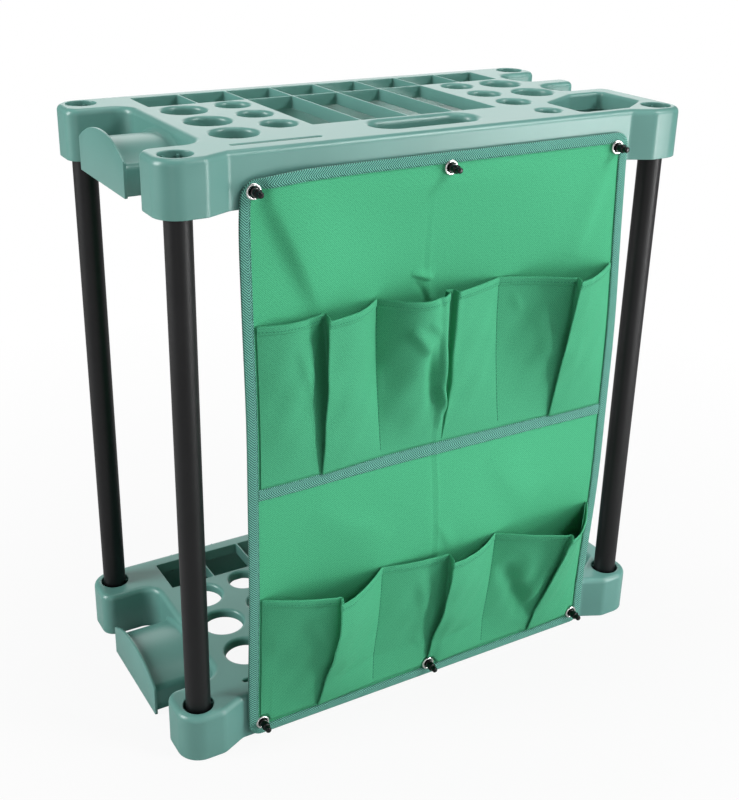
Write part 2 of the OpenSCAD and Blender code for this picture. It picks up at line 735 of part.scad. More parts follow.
module pocket_strip(folds, low, tall, lift) {
    ups = 8;
    lines = [for (j = [0:ups]) thick_ring(strip_line(folds, j / ups))];
    count = len(lines[0]);
    half = count / 2;
    top = ups * count;
    color(woven) translate([0, rack_y, 0])
        polyhedron(
            points = [for (j = [0:ups]) for (p = lines[j])
                let (z = foot(p.x, low, lift) * (1 - j / ups) + (low + tall) * j / ups)
                [p.x, sheet_line(p.x, z) - strip_off - p.y, z]],
            faces = concat(
                [for (i = [0:half - 2]) each
                    [[i, i + 1, count - 2 - i], [i, count - 2 - i, count - 1 - i]]],
                stack_faces(ups + 1, count),
                [for (i = [0:half - 2]) each
                    [[top + i + 1, top + i, top + count - 1 - i],
                     [top + i + 1, top + count - 1 - i, top + count - 2 - i]]]));
}

// Places a piece that turns about a peg's axis, its own +Z towards the front
module on_peg(side, level, y) {
    translate([side * peg_x, rack_y + y, peg_z(level)]) rotate([90, 0, 0]) children();
}

module eyelet(side, level) {
    inner = barrel_r - barrel_wall;
    crest = flange / 2;
    color(bright) on_peg(side, level, sheet_y)
        rotate_extrude()
            polygon(concat(
                [[inner, -washer_back], [barrel_r, -washer_back], [barrel_r, flange_back],
                 [eyelet_d / 2 - crest / 2, flange_back]],
                [for (a = [-45:45:90])
                    [eyelet_d / 2 - crest + crest * cos(a), flange_back + crest + crest * sin(a)]],
                [[inner + crest, flange_front], [inner, flange_front - crest]]));
}

module eyelet_washer(side, level) {
    color(bright) on_peg(side, level, sheet_y + washer_back)
        difference() {
            cylinder(d = eyelet_d, h = washer);
            translate([0, 0, -cut])
                cylinder(r = barrel_r + layer_gap / 2, h = washer + 2 * cut);
        }
}

module peg(side, level) {
    body = peg_d / 2;
    stem = stem_d / 2;
    tip = peg_tip_d / 2;
    color(glossy) on_peg(side, level, face_y)
        difference() {
            rotate_extrude()
                polygon(concat(
                    [[0, -skirt - barb_length], [stem - barb, -skirt - barb_length],
                     [stem + barb, -skirt - stem_gap - barb_length / 3],
                     [stem + barb, -skirt - stem_gap], [stem, -skirt - stem_gap],
                     [stem, 0], [body, 0], [body, peg_out - peg_tip - peg_bevel],
                     [body - peg_bevel, peg_out - peg_tip],
                     [tip, peg_out - peg_tip + peg_step]],
                    [for (a = [0:30:60])
                        [tip - peg_end + peg_end * cos(a), peg_out - peg_end + peg_end * sin(a)]],
                    [[tip - peg_end, peg_out], [0, peg_out]]));
            translate([-barb_slit / 2, -peg_d, -skirt - barb_length - cut])
                cube([barb_slit, 2 * peg_d, barb_length + cut]);
        }
}

bottom_tray();
top_tray();
tube(-1, -1);  // tube_front_left
tube(1, -1);  // tube_front_right
tube(-1, 1);  // tube_back_left
tube(1, 1);  // tube_back_right
fabric_back();
edge_binding();
middle_tape();
pocket_strip(upper_folds, upper_z, upper_pocket, 0);  // pocket_strip_upper
pocket_strip(lower_folds, lower_z, lower_pocket, foot_lift);  // pocket_strip_lower
eyelet(-1, 1);  // eyelet_top_left
eyelet(0, 1);  // eyelet_top_middle
eyelet(1, 1);  // eyelet_top_right
eyelet(-1, 0);  // eyelet_bottom_left
eyelet(0, 0);  // eyelet_bottom_middle
eyelet(1, 0);  // eyelet_bottom_right
eyelet_washer(-1, 1);  // washer_top_left
eyelet_washer(0, 1);  // washer_top_middle
eyelet_washer(1, 1);  // washer_top_right
eyelet_washer(-1, 0);  // washer_bottom_left
eyelet_washer(0, 0);  // washer_bottom_middle
eyelet_washer(1, 0);  // washer_bottom_right
peg(-1, 1);  // peg_top_left
peg(0, 1);  // peg_top_middle
peg(1, 1);  // peg_top_right
peg(-1, 0);  // peg_bottom_left
peg(0, 0);  // peg_bottom_middle
peg(1, 0);  // peg_bottom_right
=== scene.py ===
# %% [markdown]
# # A garden tool organizer, rebuilt as a visual model
# Two moulded trays stand one above the other on four painted steel tubes, and a cloth panel with six
# pleated pockets is pegged to their front faces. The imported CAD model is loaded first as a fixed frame,
# and every piece below is laid over the solid that it stands for, in the same place and at the same size.
# The surfaces are numpy grids, so each shape is a formula that can be read and changed.

# %% Frame
import json
import math

import bmesh
import bpy
import numpy as np
from mathutils import Matrix, Vector
from mathutils.geometry import delaunay_2d_cdt

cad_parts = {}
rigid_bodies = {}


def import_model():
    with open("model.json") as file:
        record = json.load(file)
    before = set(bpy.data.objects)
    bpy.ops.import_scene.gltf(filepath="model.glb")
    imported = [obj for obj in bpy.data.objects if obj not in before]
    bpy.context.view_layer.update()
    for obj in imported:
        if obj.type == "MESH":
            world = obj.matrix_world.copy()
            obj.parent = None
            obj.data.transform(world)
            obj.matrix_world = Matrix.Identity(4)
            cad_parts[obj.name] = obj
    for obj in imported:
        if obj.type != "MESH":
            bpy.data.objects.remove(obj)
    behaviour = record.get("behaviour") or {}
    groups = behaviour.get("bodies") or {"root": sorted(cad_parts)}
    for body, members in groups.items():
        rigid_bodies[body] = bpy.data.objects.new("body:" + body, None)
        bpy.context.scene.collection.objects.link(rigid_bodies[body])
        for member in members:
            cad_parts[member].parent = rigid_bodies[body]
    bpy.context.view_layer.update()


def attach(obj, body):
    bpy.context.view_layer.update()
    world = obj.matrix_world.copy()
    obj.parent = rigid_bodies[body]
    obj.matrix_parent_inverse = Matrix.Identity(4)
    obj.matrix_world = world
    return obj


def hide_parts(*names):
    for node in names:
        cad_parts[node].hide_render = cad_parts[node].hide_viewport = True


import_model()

# %% [markdown]
# ## Sizes
# Plastic mouldings and sewn goods are drawn in millimetres, so the numbers here are millimetres too and
# become metres only when a mesh is made. The places are the ones that the solids have: the trays' middle
# lies a little behind the origin, because the pockets stick out at the front.

# %% Sizes
MM = 0.001
RACK_Y = 29.4474  # the trays' middle lies this far behind the origin
HALF_W, HALF_D, HEIGHT = 288.0, 149.5, 51.0  # one tray
PLATE, WALL, CELL_DEEP = 3.0, 2.5, 13.0  # top plate, skirt and depth of the cells
RISE = 556.7  # from a place on the lower tray to the same place on the upper one
FACE_X, FACE_Y = 222.0, -138.0  # the front face between the posts
PEG_X, PEG_Z = 202.0, 16.0  # the outer pegs, and the height of all pegs above their tray's underside
SOCKETS = [(sx * 264.5, sy * 126.0) for sx in (-1, 1) for sy in (-1, 1)]
BORE_R, PEG_HOLE_R = 15.2, 3.1  # the bore of a socket and the hole for a peg
WEB_LOW, WEB_HIGH = 22.75, 25.25  # the web in a socket, on which the tube stands
PANEL_X, PANEL_LOW, PANEL_HIGH, PANEL_R = 216.0, 2.0, 586.7, 14.0  # edges and corners of the panel
SHEET_Y, CLOTH = -141.1, .8  # the middle of the backing at the pegs, and its thickness
INNER_X, SEAM_X = 203.7, 71.0  # the outer and the inner seams of the pockets
LOWER_Z, LOWER_TALL = 14.3, 154.0  # foot and height of the lower pockets
UPPER_Z, UPPER_TALL = 290.774, 161.0
TAPE_Z = 284.474  # the middle of the tape across the panel
EYELET_R = 7.5
print("tray", 2 * HALF_W, "by", 2 * HALF_D, "mm; panel", 2 * PANEL_X, "by", PANEL_HIGH - PANEL_LOW, "mm")

# %% [markdown]
# ## From grids to meshes
# A moulded part is mostly a few surfaces that repeat: a section swept along a line, and flat areas between
# them. Both are quick to write as whole arrays. The alternative, modelling by hand with extrusions, gives
# the same faces but hides the sizes. Here `shape` joins the arrays into one mesh, welds the seams between
# them, turns the normals outwards and keeps hard edges hard.

# %% Mesh helpers
def grid_faces(rows, cols, close_rows=False, close_cols=False):
    """Quads of a grid whose vertex (i, j) has the number i*cols + j; a closed direction wraps round."""
    i, j = np.meshgrid(np.arange(rows if close_rows else rows - 1),
                       np.arange(cols if close_cols else cols - 1), indexing="ij")
    i, j = i.ravel(), j.ravel()
    k, m = (i + 1) % rows, (j + 1) % cols
    return np.stack([i * cols + j, k * cols + j, k * cols + m, i * cols + m], 1)


def bar_faces(rows, half):
    """Sides and both ends of a bar whose section has half its points on the way out and half on the way
    back; the ends join point i to point 2*half - 1 - i."""
    count = 2 * half
    i = np.arange(half - 1)
    cap = np.stack([i, i + 1, count - 2 - i, count - 1 - i], 1)
    return grid_faces(rows, count, False, True), cap, cap[:, ::-1] + (rows - 1) * count


def shape(name, parts, weld=0.0, angle=35.0, uvs=None):
    """An object from (vertices in mm, faces, ...) tuples; uvs holds one (u, v) array for each part."""
    points = np.concatenate([np.asarray(p[0], float).reshape(-1, 3) for p in parts])
    start, corners, sizes = 0, [], []
    for part in parts:
        for block in part[1:]:
            corners.append((block + start).ravel())
            sizes.append(np.full(len(block), block.shape[1]))
        start += len(np.asarray(part[0]).reshape(-1, 3))
    corners, sizes = np.concatenate(corners).astype(np.int32), np.concatenate(sizes)
    mesh = bpy.data.meshes.new(name)
    mesh.vertices.add(len(points))
    mesh.vertices.foreach_set("co", ((points + [0, RACK_Y, 0]) * MM).astype(np.float32).ravel())
    mesh.loops.add(len(corners))
    mesh.loops.foreach_set("vertex_index", corners)
    mesh.polygons.add(len(sizes))
    mesh.polygons.foreach_set("loop_start", (np.cumsum(sizes) - sizes).astype(np.int32))
    mesh.update(calc_edges=True)
    if uvs is not None:
        layer = mesh.uv_layers.new(name="cloth")
        layer.uv.foreach_set("vector", np.concatenate(uvs)[corners].astype(np.float32).ravel())
    mesh.validate()
    soup = bmesh.new()
    soup.from_mesh(mesh)
    if weld:
        bmesh.ops.remove_doubles(soup, verts=soup.verts, dist=weld * MM)
    bmesh.ops.recalc_face_normals(soup, faces=soup.faces)
    loose = sum(1 for edge in soup.edges if len(edge.link_faces) != 2)
    soup.to_mesh(mesh)
    soup.free()
    mesh.polygons.foreach_set("use_smooth", np.ones(len(mesh.polygons), bool))
    mesh.set_sharp_from_angle(angle=math.radians(angle))
    obj = bpy.data.objects.new(name, mesh)
    bpy.context.collection.objects.link(obj)
    print(f"{name}: {len(mesh.vertices)} vertices, {len(mesh.polygons)} faces, {loose} open edges")
    return obj


# %% Lines and sections
def rounded(corners, step=5.0):
    """Corners (x, y, radius) of a closed line, anticlockwise, as points (x, y, nx, ny) on arcs.
    The arc of a corner has its middle at p - r*tan(turn/2)*u - side*r*n, and n turns with it."""
    found = []
    for i, (x, y, radius) in enumerate(corners):
        before, after = np.array(corners[i - 1][:2]), np.array(corners[(i + 1) % len(corners)][:2])
        here = np.array([x, y], float)
        u, v = (here - before) / np.linalg.norm(here - before), (after - here) / np.linalg.norm(after - here)
        turn = math.atan2(u[0] * v[1] - u[1] * v[0], u @ v)
        side, normal = math.copysign(1, turn), np.array([u[1], -u[0]])
        middle = here - radius * math.tan(abs(turn) / 2) * u - side * radius * normal
        a = turn * np.linspace(0, 1, max(2, math.ceil(math.degrees(abs(turn)) / step) + 1))
        nx = normal[0] * np.cos(a) - normal[1] * np.sin(a)
        ny = normal[0] * np.sin(a) + normal[1] * np.cos(a)
        found.append(np.stack([middle[0] + side * radius * nx, middle[1] + side * radius * ny, nx, ny], 1))
    return np.concatenate(found)


def ring(x, y, radius, count):
    """A circle as points (x, y, nx, ny)."""
    a = 2 * np.pi * np.arange(count) / count
    return np.stack([x + radius * np.cos(a), y + radius * np.sin(a), np.cos(a), np.sin(a)], 1)


def arc(d, z, radius, start, end, count):
    """Points (d, z) of an arc about (d, z), from one angle to another, in degrees."""
    a = np.radians(np.linspace(start, end, count))
    return [(d + radius * c, z + radius * s) for c, s in zip(np.cos(a), np.sin(a))]


def swept(line, section):
    """A section (d, z) carried round a closed line: p = line + d*normal, at height z."""
    d, z = np.asarray(section, float).T
    x = line[:, None, 0] + d * line[:, None, 2]
    y = line[:, None, 1] + d * line[:, None, 3]
    return np.stack([x, y, z + 0 * x], -1).reshape(-1, 3), grid_faces(len(line), len(d), True)


def moved(line, d):
    """The same closed line, moved out by d."""
    return np.stack([line[:, 0] + d * line[:, 2], line[:, 1] + d * line[:, 3]], 1)


def flat(z, outer, holes=()):
    """Triangles of the flat area inside one closed line and outside the others, at height z."""
    loops = [outer, *holes]
    points = np.concatenate(loops)
    ends = np.cumsum([len(loop) for loop in loops])
    faces = [list(range(end - len(loop), end)) for loop, end in zip(loops, ends)]
    _, _, triangles, origins, _, owners = delaunay_2d_cdt([Vector(p) for p in points], [], faces, 0, 1e-5)
    kept = [t for t, owner in zip(triangles, owners) if owner == [0]]
    first = np.array([o[0] for o in origins])
    return np.column_stack([points, np.full(len(points), z)]), first[np.array(kept)]


def revolved(profile, count, place, forward=False):
    """A closed profile (r, h) turned about an axis: +Z, or towards the front where forward is set."""
    r, h = np.asarray(profile, float).T
    a = 2 * np.pi * np.arange(count)[:, None] / count
    one, two, along = r * np.cos(a), r * np.sin(a), h + 0 * a
    stack = [one, -along, two] if forward else [one, two, along]
    points = np.stack(stack, -1) + np.asarray(place, float)
    return points.reshape(-1, 3), grid_faces(count, len(r), True, True)


print("a quarter arc in 5 steps:", [tuple(round(float(v), 2) for v in p) for p in arc(0, 0, 1, 0, 90, 6)][:2])

# %% [markdown]
# ## The plan of a tray
# Seen from above, a tray is a plate with four round posts at its corners, a front face that steps back
# between the posts, one wide notch in the left end and two in the right. A line of corners with radii says
# all of that. A Boolean cut would give the same plan, but leaves no clean edge to round over.

# %% Plan
POST_X, POST_R = 246.0, 23.5  # where a post steps forward from the face, and its outer corner
FACE_R, MOUTH_R, NOTCH_R, FINGER_R = 12.0, 14.0, 19.0, 10.0
CRADLE_X, CRADLE_Y = 228.0, 93.0
NOTCH_X, NOTCH_FRONT, NOTCH_BACK = 227.0, -18.0, 101.0
FINGER_X, FINGER_FRONT, FINGER_BACK = 284.0, 25.5, 50.5
PLAN = rounded([
    (-FACE_X, FACE_Y, FACE_R), (FACE_X, FACE_Y, FACE_R), (POST_X, -HALF_D, MOUTH_R),
    (HALF_W, -HALF_D, POST_R), (HALF_W, NOTCH_FRONT, MOUTH_R), (NOTCH_X, NOTCH_FRONT, NOTCH_R),
    (NOTCH_X, FINGER_FRONT, NOTCH_R), (FINGER_X, FINGER_FRONT, FINGER_R), (FINGER_X, FINGER_BACK, FINGER_R),
    (NOTCH_X, FINGER_BACK, NOTCH_R), (NOTCH_X, NOTCH_BACK, NOTCH_R), (HALF_W, NOTCH_BACK, MOUTH_R),
    (HALF_W, HALF_D, POST_R), (-HALF_W, HALF_D, POST_R), (-HALF_W, CRADLE_Y, MOUTH_R),
    (-CRADLE_X, CRADLE_Y, NOTCH_R), (-CRADLE_X, -CRADLE_Y, NOTCH_R), (-HALF_W, -CRADLE_Y, MOUTH_R),
    (-HALF_W, -HALF_D, POST_R), (-POST_X, -HALF_D, MOUTH_R)])
LARGE_R, MEDIUM_R, SMALL_R = 22.0, 17.0, 12.5
ROUND_HOLES = ([(-186.0, y, LARGE_R) for y in (-69, -10, 49)] + [(194.5, y, LARGE_R) for y in (-10, 49)]
               + [(x, y, MEDIUM_R) for x in (-131, 140.5) for y in (-48, 4, 56)]
               + [(142.5, -103, SMALL_R)])
SIX = rounded([(170, -124, 6), (228, -124, 6), (264, -100, 6), (264, -40, 6), (222, -40, 6), (170, -68, 6)])


def box_line(x0, x1, y0, y1, radius, step=22.5):
    """A rectangle with round corners."""
    return rounded([(x0, y0, radius), (x1, y0, radius), (x1, y1, radius), (x0, y1, radius)], step)


CARRY = box_line(-57, 57, -113, -75, 18.99, 5)
NARROW = box_line(-210, -122, -117.2, -112.8, 2.19, 15)
CELL_PITCH, DIVIDER = 53.0, 2.0
LONG_FRONT, LONG_BACK, ROW_BACK = -66.0, 76.5, 132.0  # ends of the long cells, and of the back row


def cell_row(count, y0, y1):
    """Rectangular cells side by side, a divider apart, with the middle of the row at x = 0."""
    starts = [(i - count / 2) * CELL_PITCH for i in range(count)]
    return [box_line(x + DIVIDER / 2, x + CELL_PITCH - DIVIDER / 2, y0, y1, 1.5) for x in starts]


CELLS = cell_row(8, LONG_BACK + DIVIDER, ROW_BACK) + cell_row(4, LONG_FRONT, LONG_BACK)
LONG_X, ROW_X = 2 * CELL_PITCH + DIVIDER / 2, 4 * CELL_PITCH + DIVIDER / 2
BLOCK = rounded([(-LONG_X, LONG_FRONT - DIVIDER, 1), (LONG_X, LONG_FRONT - DIVIDER, 1),
                 (LONG_X, LONG_BACK, 1), (ROW_X, LONG_BACK, 1), (ROW_X, ROW_BACK + DIVIDER, 1),
                 (-ROW_X, ROW_BACK + DIVIDER, 1), (-ROW_X, LONG_BACK, 1), (-LONG_X, LONG_BACK, 1)], 30)
print("plan:", len(PLAN), "points;", len(ROUND_HOLES), "round holes;", len(CELLS), "cells")

# %% [markdown]
# ## Sections of a tray
# A moulding has no sharp outside edge. The skirt turns into the top with a wide radius, which gives the
# dark band and the bright line along the photographed edges, and each hole has a rolled rim over a short
# collar. Every section ends on the two flat areas, the top and the underside of the plate, so the pieces
# close up when they are welded. A short flat step beside each radius keeps the flats shading flat.

# %% Sections
H, EDGE_R = HEIGHT, 6.0
UNDER, CELL_FOOT = H - PLATE, H - CELL_DEEP
SKIRT = ([(-EDGE_R - .6, H)] + arc(-EDGE_R, H - EDGE_R, EDGE_R, 90, 0, 10) + [(0, H - EDGE_R - .6), (0, 1.2)]
         + arc(-.6, .6, .6, 0, -90, 4) + [(-WALL + .5, 0), (-WALL, .5), (-WALL, UNDER - 1.5)]
         + arc(-WALL - 1, UNDER - 1, 1, 0, 90, 4) + [(-WALL - 1.6, UNDER)])


def rim(radius, wall, deep, count=7):
    """Section of an opening, from the top over its rolled rim, down its wall and up the outside."""
    foot = H - deep
    return ([(radius + .3, H)] + arc(radius, H - radius, radius, 90, 180, count)
            + [(0, H - radius - .3), (0, foot + .8)] + arc(.4, foot + .4, .4, 180, 270, 3)
            + arc(wall - .4, foot + .4, .4, 270, 360, 3) + [(wall, foot + .8), (wall, UNDER - .8)]
            + arc(wall + .4, UNDER - .4, .4, 180, 90, 3))


CELL = ([(.75, H)] + arc(.6, H - .6, .6, 90, 180, 4) + [(0, H - .8), (0, CELL_FOOT + .3), (.3, CELL_FOOT)])
BLOCK_SIDE = [(-.3, CELL_FOOT), (0, CELL_FOOT + .3), (0, UNDER - .4), (.4, UNDER)]
SOCKET = ([(1.3, H)] + arc(1, H - 1, 1, 90, 180, 5)
          + [(0, H - 1.3), (0, WEB_HIGH + .25), (-.2, WEB_HIGH), (-7.9, WEB_HIGH), (-8.2, WEB_HIGH - .35)]
          + [(-8.2, WEB_LOW + .35), (-7.9, WEB_LOW), (-.2, WEB_LOW), (0, WEB_LOW - .25)]
          + [(0, .5), (.5, 0), (2.1, 0), (2.6, .5), (2.6, UNDER - 1.3)] + arc(3.6, UNDER - 1, 1, 180, 90, 4))
print("skirt section:", len(SKIRT), "points; socket section:", len(SOCKET), "points")

# %% [markdown]
# ## The body of a tray
# The front wall carries three pegs, so its flat part is cut out of the sweep and filled again with a flat
# area that has three round holes, on the outside and on the inside of the wall.

# %% Tray body
def upright(points, faces, y):
    """A flat area in (x, z) stood up at depth y."""
    return np.column_stack([points[:, 0], np.full(len(points), y), points[:, 1]]), faces


def tray_body():
    """The closed surface of one tray, with its underside at z = 0, as parts for shape()."""
    points, faces = swept(PLAN, SKIRT)
    low, high = points[faces].min(1), points[faces].max(1)
    flats = (low[:, 0] < -PEG_X) & (high[:, 0] > PEG_X) & (high[:, 2] - low[:, 2] > H / 2)
    walls = (FACE_Y, FACE_Y + WALL)
    picked = [flats & (np.abs(low[:, 1] - y) < .1) & (np.abs(high[:, 1] - y) < .1) for y in walls]
    parts = [(points, faces[~(picked[0] | picked[1])])]
    sides = 24
    pegs = [ring(x, PEG_Z, PEG_HOLE_R, sides) for x in (-PEG_X, 0, PEG_X)]
    for found, y in zip(picked, walls):
        (x0, _, z0), (x1, _, z1) = low[found][0], high[found][0]
        p, f = flat(0, np.array([(x0, z0), (x1, z0), (x1, z1), (x0, z1)]), [peg[:, :2] for peg in pegs])
        parts.append(upright(p, f, y))
    for peg in pegs:
        bore = np.stack([np.column_stack([peg[:, 0], np.full(sides, y), peg[:, 1]]) for y in walls], 1)
        parts.append((bore.reshape(-1, 3), grid_faces(sides, 2, True)))
    cuts = [(ring(x, y, r, 72), rim(radius=3.5, wall=2, deep=10)) for x, y, r in ROUND_HOLES]
    cuts += [(SIX, rim(radius=3.5, wall=2, deep=18)), (CARRY, rim(radius=6, wall=2.5, deep=24, count=10)),
             (NARROW, rim(radius=1.7, wall=2, deep=10, count=6))]
    cuts += [(ring(x, y, BORE_R, 64), SOCKET) for x, y in SOCKETS]
    parts += [swept(line, section) for line, section in cuts]
    parts += [swept(cell, CELL) for cell in CELLS] + [swept(BLOCK, BLOCK_SIDE)]
    top = [moved(line, section[0][0]) for line, section in cuts] + [moved(cell, CELL[0][0]) for cell in CELLS]
    under = [moved(line, section[-1][0]) for line, section in cuts] + [moved(BLOCK, BLOCK_SIDE[-1][0])]
    foot = [moved(cell, CELL[-1][0]) for cell in CELLS]
    parts.append(flat(H, moved(PLAN, SKIRT[0][0]), top))
    parts.append(flat(UNDER, moved(PLAN, SKIRT[-1][0]), under))
    parts.append(flat(CELL_FOOT, moved(BLOCK, BLOCK_SIDE[0][0]), foot))
    return parts


BODY = tray_body()
print("tray body:", sum(len(block) for part in BODY for block in part[1:]), "faces in", len(BODY), "parts")

# %% [markdown]
# ## Ribs, gussets and the hose cradle
# Six upright ribs in each socket grip the tube, thin gussets brace the back row of cells, and a saddle
# behind an arched lip plate fills the wide notch. They are separate closed shells that sink a little into
# the body, as ribs do in a mould drawing. The saddle flares out where it meets the wall of the notch.

# %% Ribs and gussets
def prism(outline, low, high, bevel):
    """A convex outline (n, 2) between two heights, its ends drawn in by a bevel."""
    outline = np.asarray(outline, float)
    middle = outline.mean(0)
    reach = np.linalg.norm(outline - middle, axis=1).min()
    near = middle + (outline - middle) * (1 - bevel / reach)
    levels = [(near, low), (outline, low + bevel), (outline, high - bevel), (near, high)]
    points = np.concatenate([np.column_stack([o, np.full(len(o), z)]) for o, z in levels])
    count = len(outline)
    cap = np.arange(1, count - 1)
    fan = np.stack([0 * cap, cap, cap + 1], 1)
    return points, grid_faces(4, count, False, True), fan, fan[:, ::-1] + 3 * count


def socket_ribs():
    """Six grip ribs, above and below the stop web of each socket."""
    plan = np.array([(12.7, -.7), (13.0, -1.1), (16.6, -1.3), (16.6, 1.3), (13.0, 1.1), (12.7, .7)])
    heights = ((8, WEB_LOW + .65), (WEB_HIGH - .55, 47.5))
    parts = []
    for x, y in SOCKETS:
        for a in np.radians(np.arange(6) * 60.0):
            turn = np.array([[math.cos(a), math.sin(a)], [-math.sin(a), math.cos(a)]])
            parts += [prism(plan @ turn + [x, y], z0, z1, .3) for z0, z1 in heights]
    return parts


def gussets():
    """Eight thin plates between the back row of cells and the back wall, deeper at the wall."""
    near, far = ROW_BACK + 1, HALF_D - 1.3
    side = np.array([(near, H - 1.5), (far, H - 1.5), (far, H - 25), (near, CELL_FOOT)])
    parts = []
    for i in range(8):
        points, *faces = prism(side[::-1], -1, 1, .2)
        x = (i - 3.5) * CELL_PITCH
        parts.append((np.column_stack([points[:, 2] + x, points[:, 0], points[:, 1]]), *faces))
    return parts


# %% Hose cradle
LIP_HALF, LIP_TOP, LIP_RISE = 62.0, 50.0, 17.5
LIP_BACK = -HALF_W + 3


def arch_line(half, crown, count=41):
    """Points (y, z) of an arch whose middle is as high as the crown. A plate of half width w whose arc
    rises by s has the radius w^2/(2*s) + s/2, and both arches here have the lip plate's radius."""
    radius = LIP_HALF ** 2 / (2 * LIP_RISE) + LIP_RISE / 2
    y = np.linspace(-half, half, count)
    return np.column_stack([y, crown - radius + np.sqrt(radius ** 2 - y ** 2)])


def lip_plate():
    """The arched plate at the open end of the notch, 3 mm thick with softened edges."""
    top = arch_line(LIP_HALF, LIP_TOP)
    line = rounded([(-LIP_HALF, 0, 1.2), (LIP_HALF, 0, 1.2), (LIP_HALF, top[-1, 1], 2.5)]
                   + [(y, z, 60) for y, z in top[-3:2:-1]] + [(-LIP_HALF, top[0, 1], 2.5)], 12)
    out, back = -HALF_W, LIP_BACK
    section = [(-.8, out), (-.25, out + .15), (0, out + .6), (0, back - .6), (-.25, back - .15), (-.8, back)]
    points, faces = swept(line, section)
    near, far = flat(out, moved(line, -.8)), flat(back, moved(line, -.8))
    turn = [np.column_stack([p[:, 2], p[:, 0], p[:, 1]]) for p in (points, near[0], far[0])]
    return [(turn[0], faces), (turn[1], near[1]), (turn[2], far[1])]


def saddle():
    """The curved rest behind the lip plate: a U upside down, flared where it meets the notch wall.
    At x the outside grows by R - sqrt(R^2 - t^2), where t is how far x is into the last R mm."""
    half, crown, radius, flare, wall = 55.0, 41.0, 8.0, 4.5, 2.5
    top = arch_line(half, crown)
    corners = [(half, 0, .3), (half, top[-1, 1], radius)] + [(y, z, 60) for y, z in top[-6:5:-1]]
    corners += [(-half, top[0, 1], radius), (-half, 0, .3), (-half + 20, -12, 1), (half - 20, -12, 1)]
    line = rounded(corners, 9)
    line = line[line[:, 1] > -.5]
    line = line[np.argsort(np.arctan2(line[:, 1] + 1, line[:, 0]))]
    line[0], line[-1] = (half, 0, 1, 0), (-half, 0, -1, 0)
    start, end = LIP_BACK, -CRADLE_X
    x = np.concatenate([[start - .3, start, start + .6], np.linspace(start + 1.5, end - 5, 12),
                        end - flare * np.cos(np.linspace(0, np.pi / 2, 10)), [end + 1.4]])
    t = np.clip((x - end + flare) / flare, 0, 1)
    grow = flare * (1 - np.sqrt(1 - t ** 2)) + .8 * np.clip(1 - (x - start) / 1.2, 0, 1) ** 2
    outer = np.stack([line[None, :, 0] + grow[:, None] * line[None, :, 2],
                      np.maximum(line[None, :, 1] + grow[:, None] * line[None, :, 3], 0)], -1)
    inner = (line[:, :2] - wall * line[:, 2:])[::-1]
    inner[0], inner[-1] = (-half + wall, 0), (half - wall, 0)
    loop = np.concatenate([outer, np.repeat(inner[None], len(x), 0)], 1)
    points = np.concatenate([np.repeat(x, loop.shape[1])[:, None], loop.reshape(-1, 2)], 1)
    return points, *bar_faces(len(x), len(line))


EXTRAS = socket_ribs() + gussets() + lip_plate() + [saddle()]
print("ribs, gussets and cradle:", len(EXTRAS), "parts")

# %% [markdown]
# ## Cloth that hangs
# The panel is held at six eyelets and waves a little between the trays. One function gives how far the
# sheet lies in front of the trays at every (x, z), so the backing, pockets and tapes all follow it and never
# cut through each other. A cloth simulation would drape it too, but not into the folds of the photograph.

# %% Hanging sheet
def folds(x, z, lines):
    """Folds that run from one point to another: the height is h*sin(pi*along)^.8*exp(-(across/w)^2), and
    w differs on the two sides, so that a fold can be steep on one and slow on the other. A line is its
    two ends, h, w on the right of the way from the first end to the second, and w on the left."""
    total = 0 * x
    for (x0, z0), (x1, z1), height, right, left in lines:
        long = math.hypot(x1 - x0, z1 - z0)
        ux, uz = (x1 - x0) / long, (z1 - z0) / long
        along = np.clip(((x - x0) * ux + (z - z0) * uz) / long, 0, 1)
        across = -(x - x0) * uz + (z - z0) * ux
        width = np.where(across < 0, right, left)
        total = total + height * np.sin(np.pi * along) ** .8 * np.exp(-(across / width) ** 2)
    return total


PANEL_FOLDS = [((-201, 600), (-130, 446), 8.5, 11, 50),
               ((196, 566), (156, 462), 2.2, 16, 9), ((-31, 469), (-4, 459), 3.0, 2.0, 6),
               ((-26, 460), (-9, 443), -1.6, 4, 4), ((-15, 455), (-3, 434), 2.0, 3, 6),
               ((-150, 250), (-60, 200), 2.6, 24, 14), ((60, 262), (120, 190), 2.4, 16, 26),
               ((-6, 205), (14, 165), 1.5, 5, 8), ((-205, 120), (-196, 20), 1.5, 8, 10)]


def tugged(x, z):
    """The upper left corner is drawn in to its eyelet: its edges move right and down by a few mm, by
    powers of how far a point is out to the left and up to the top of that corner."""
    left, high = np.clip((-150 - x) / 66, 0, 1), np.clip((z - 500) / 86, 0, 1)
    right, down = 4.6, 5.8
    return x + right * np.clip(2.5 * left - 1.5, 0, 1) * high ** 3, z - down * left ** 1.4 * high ** 2


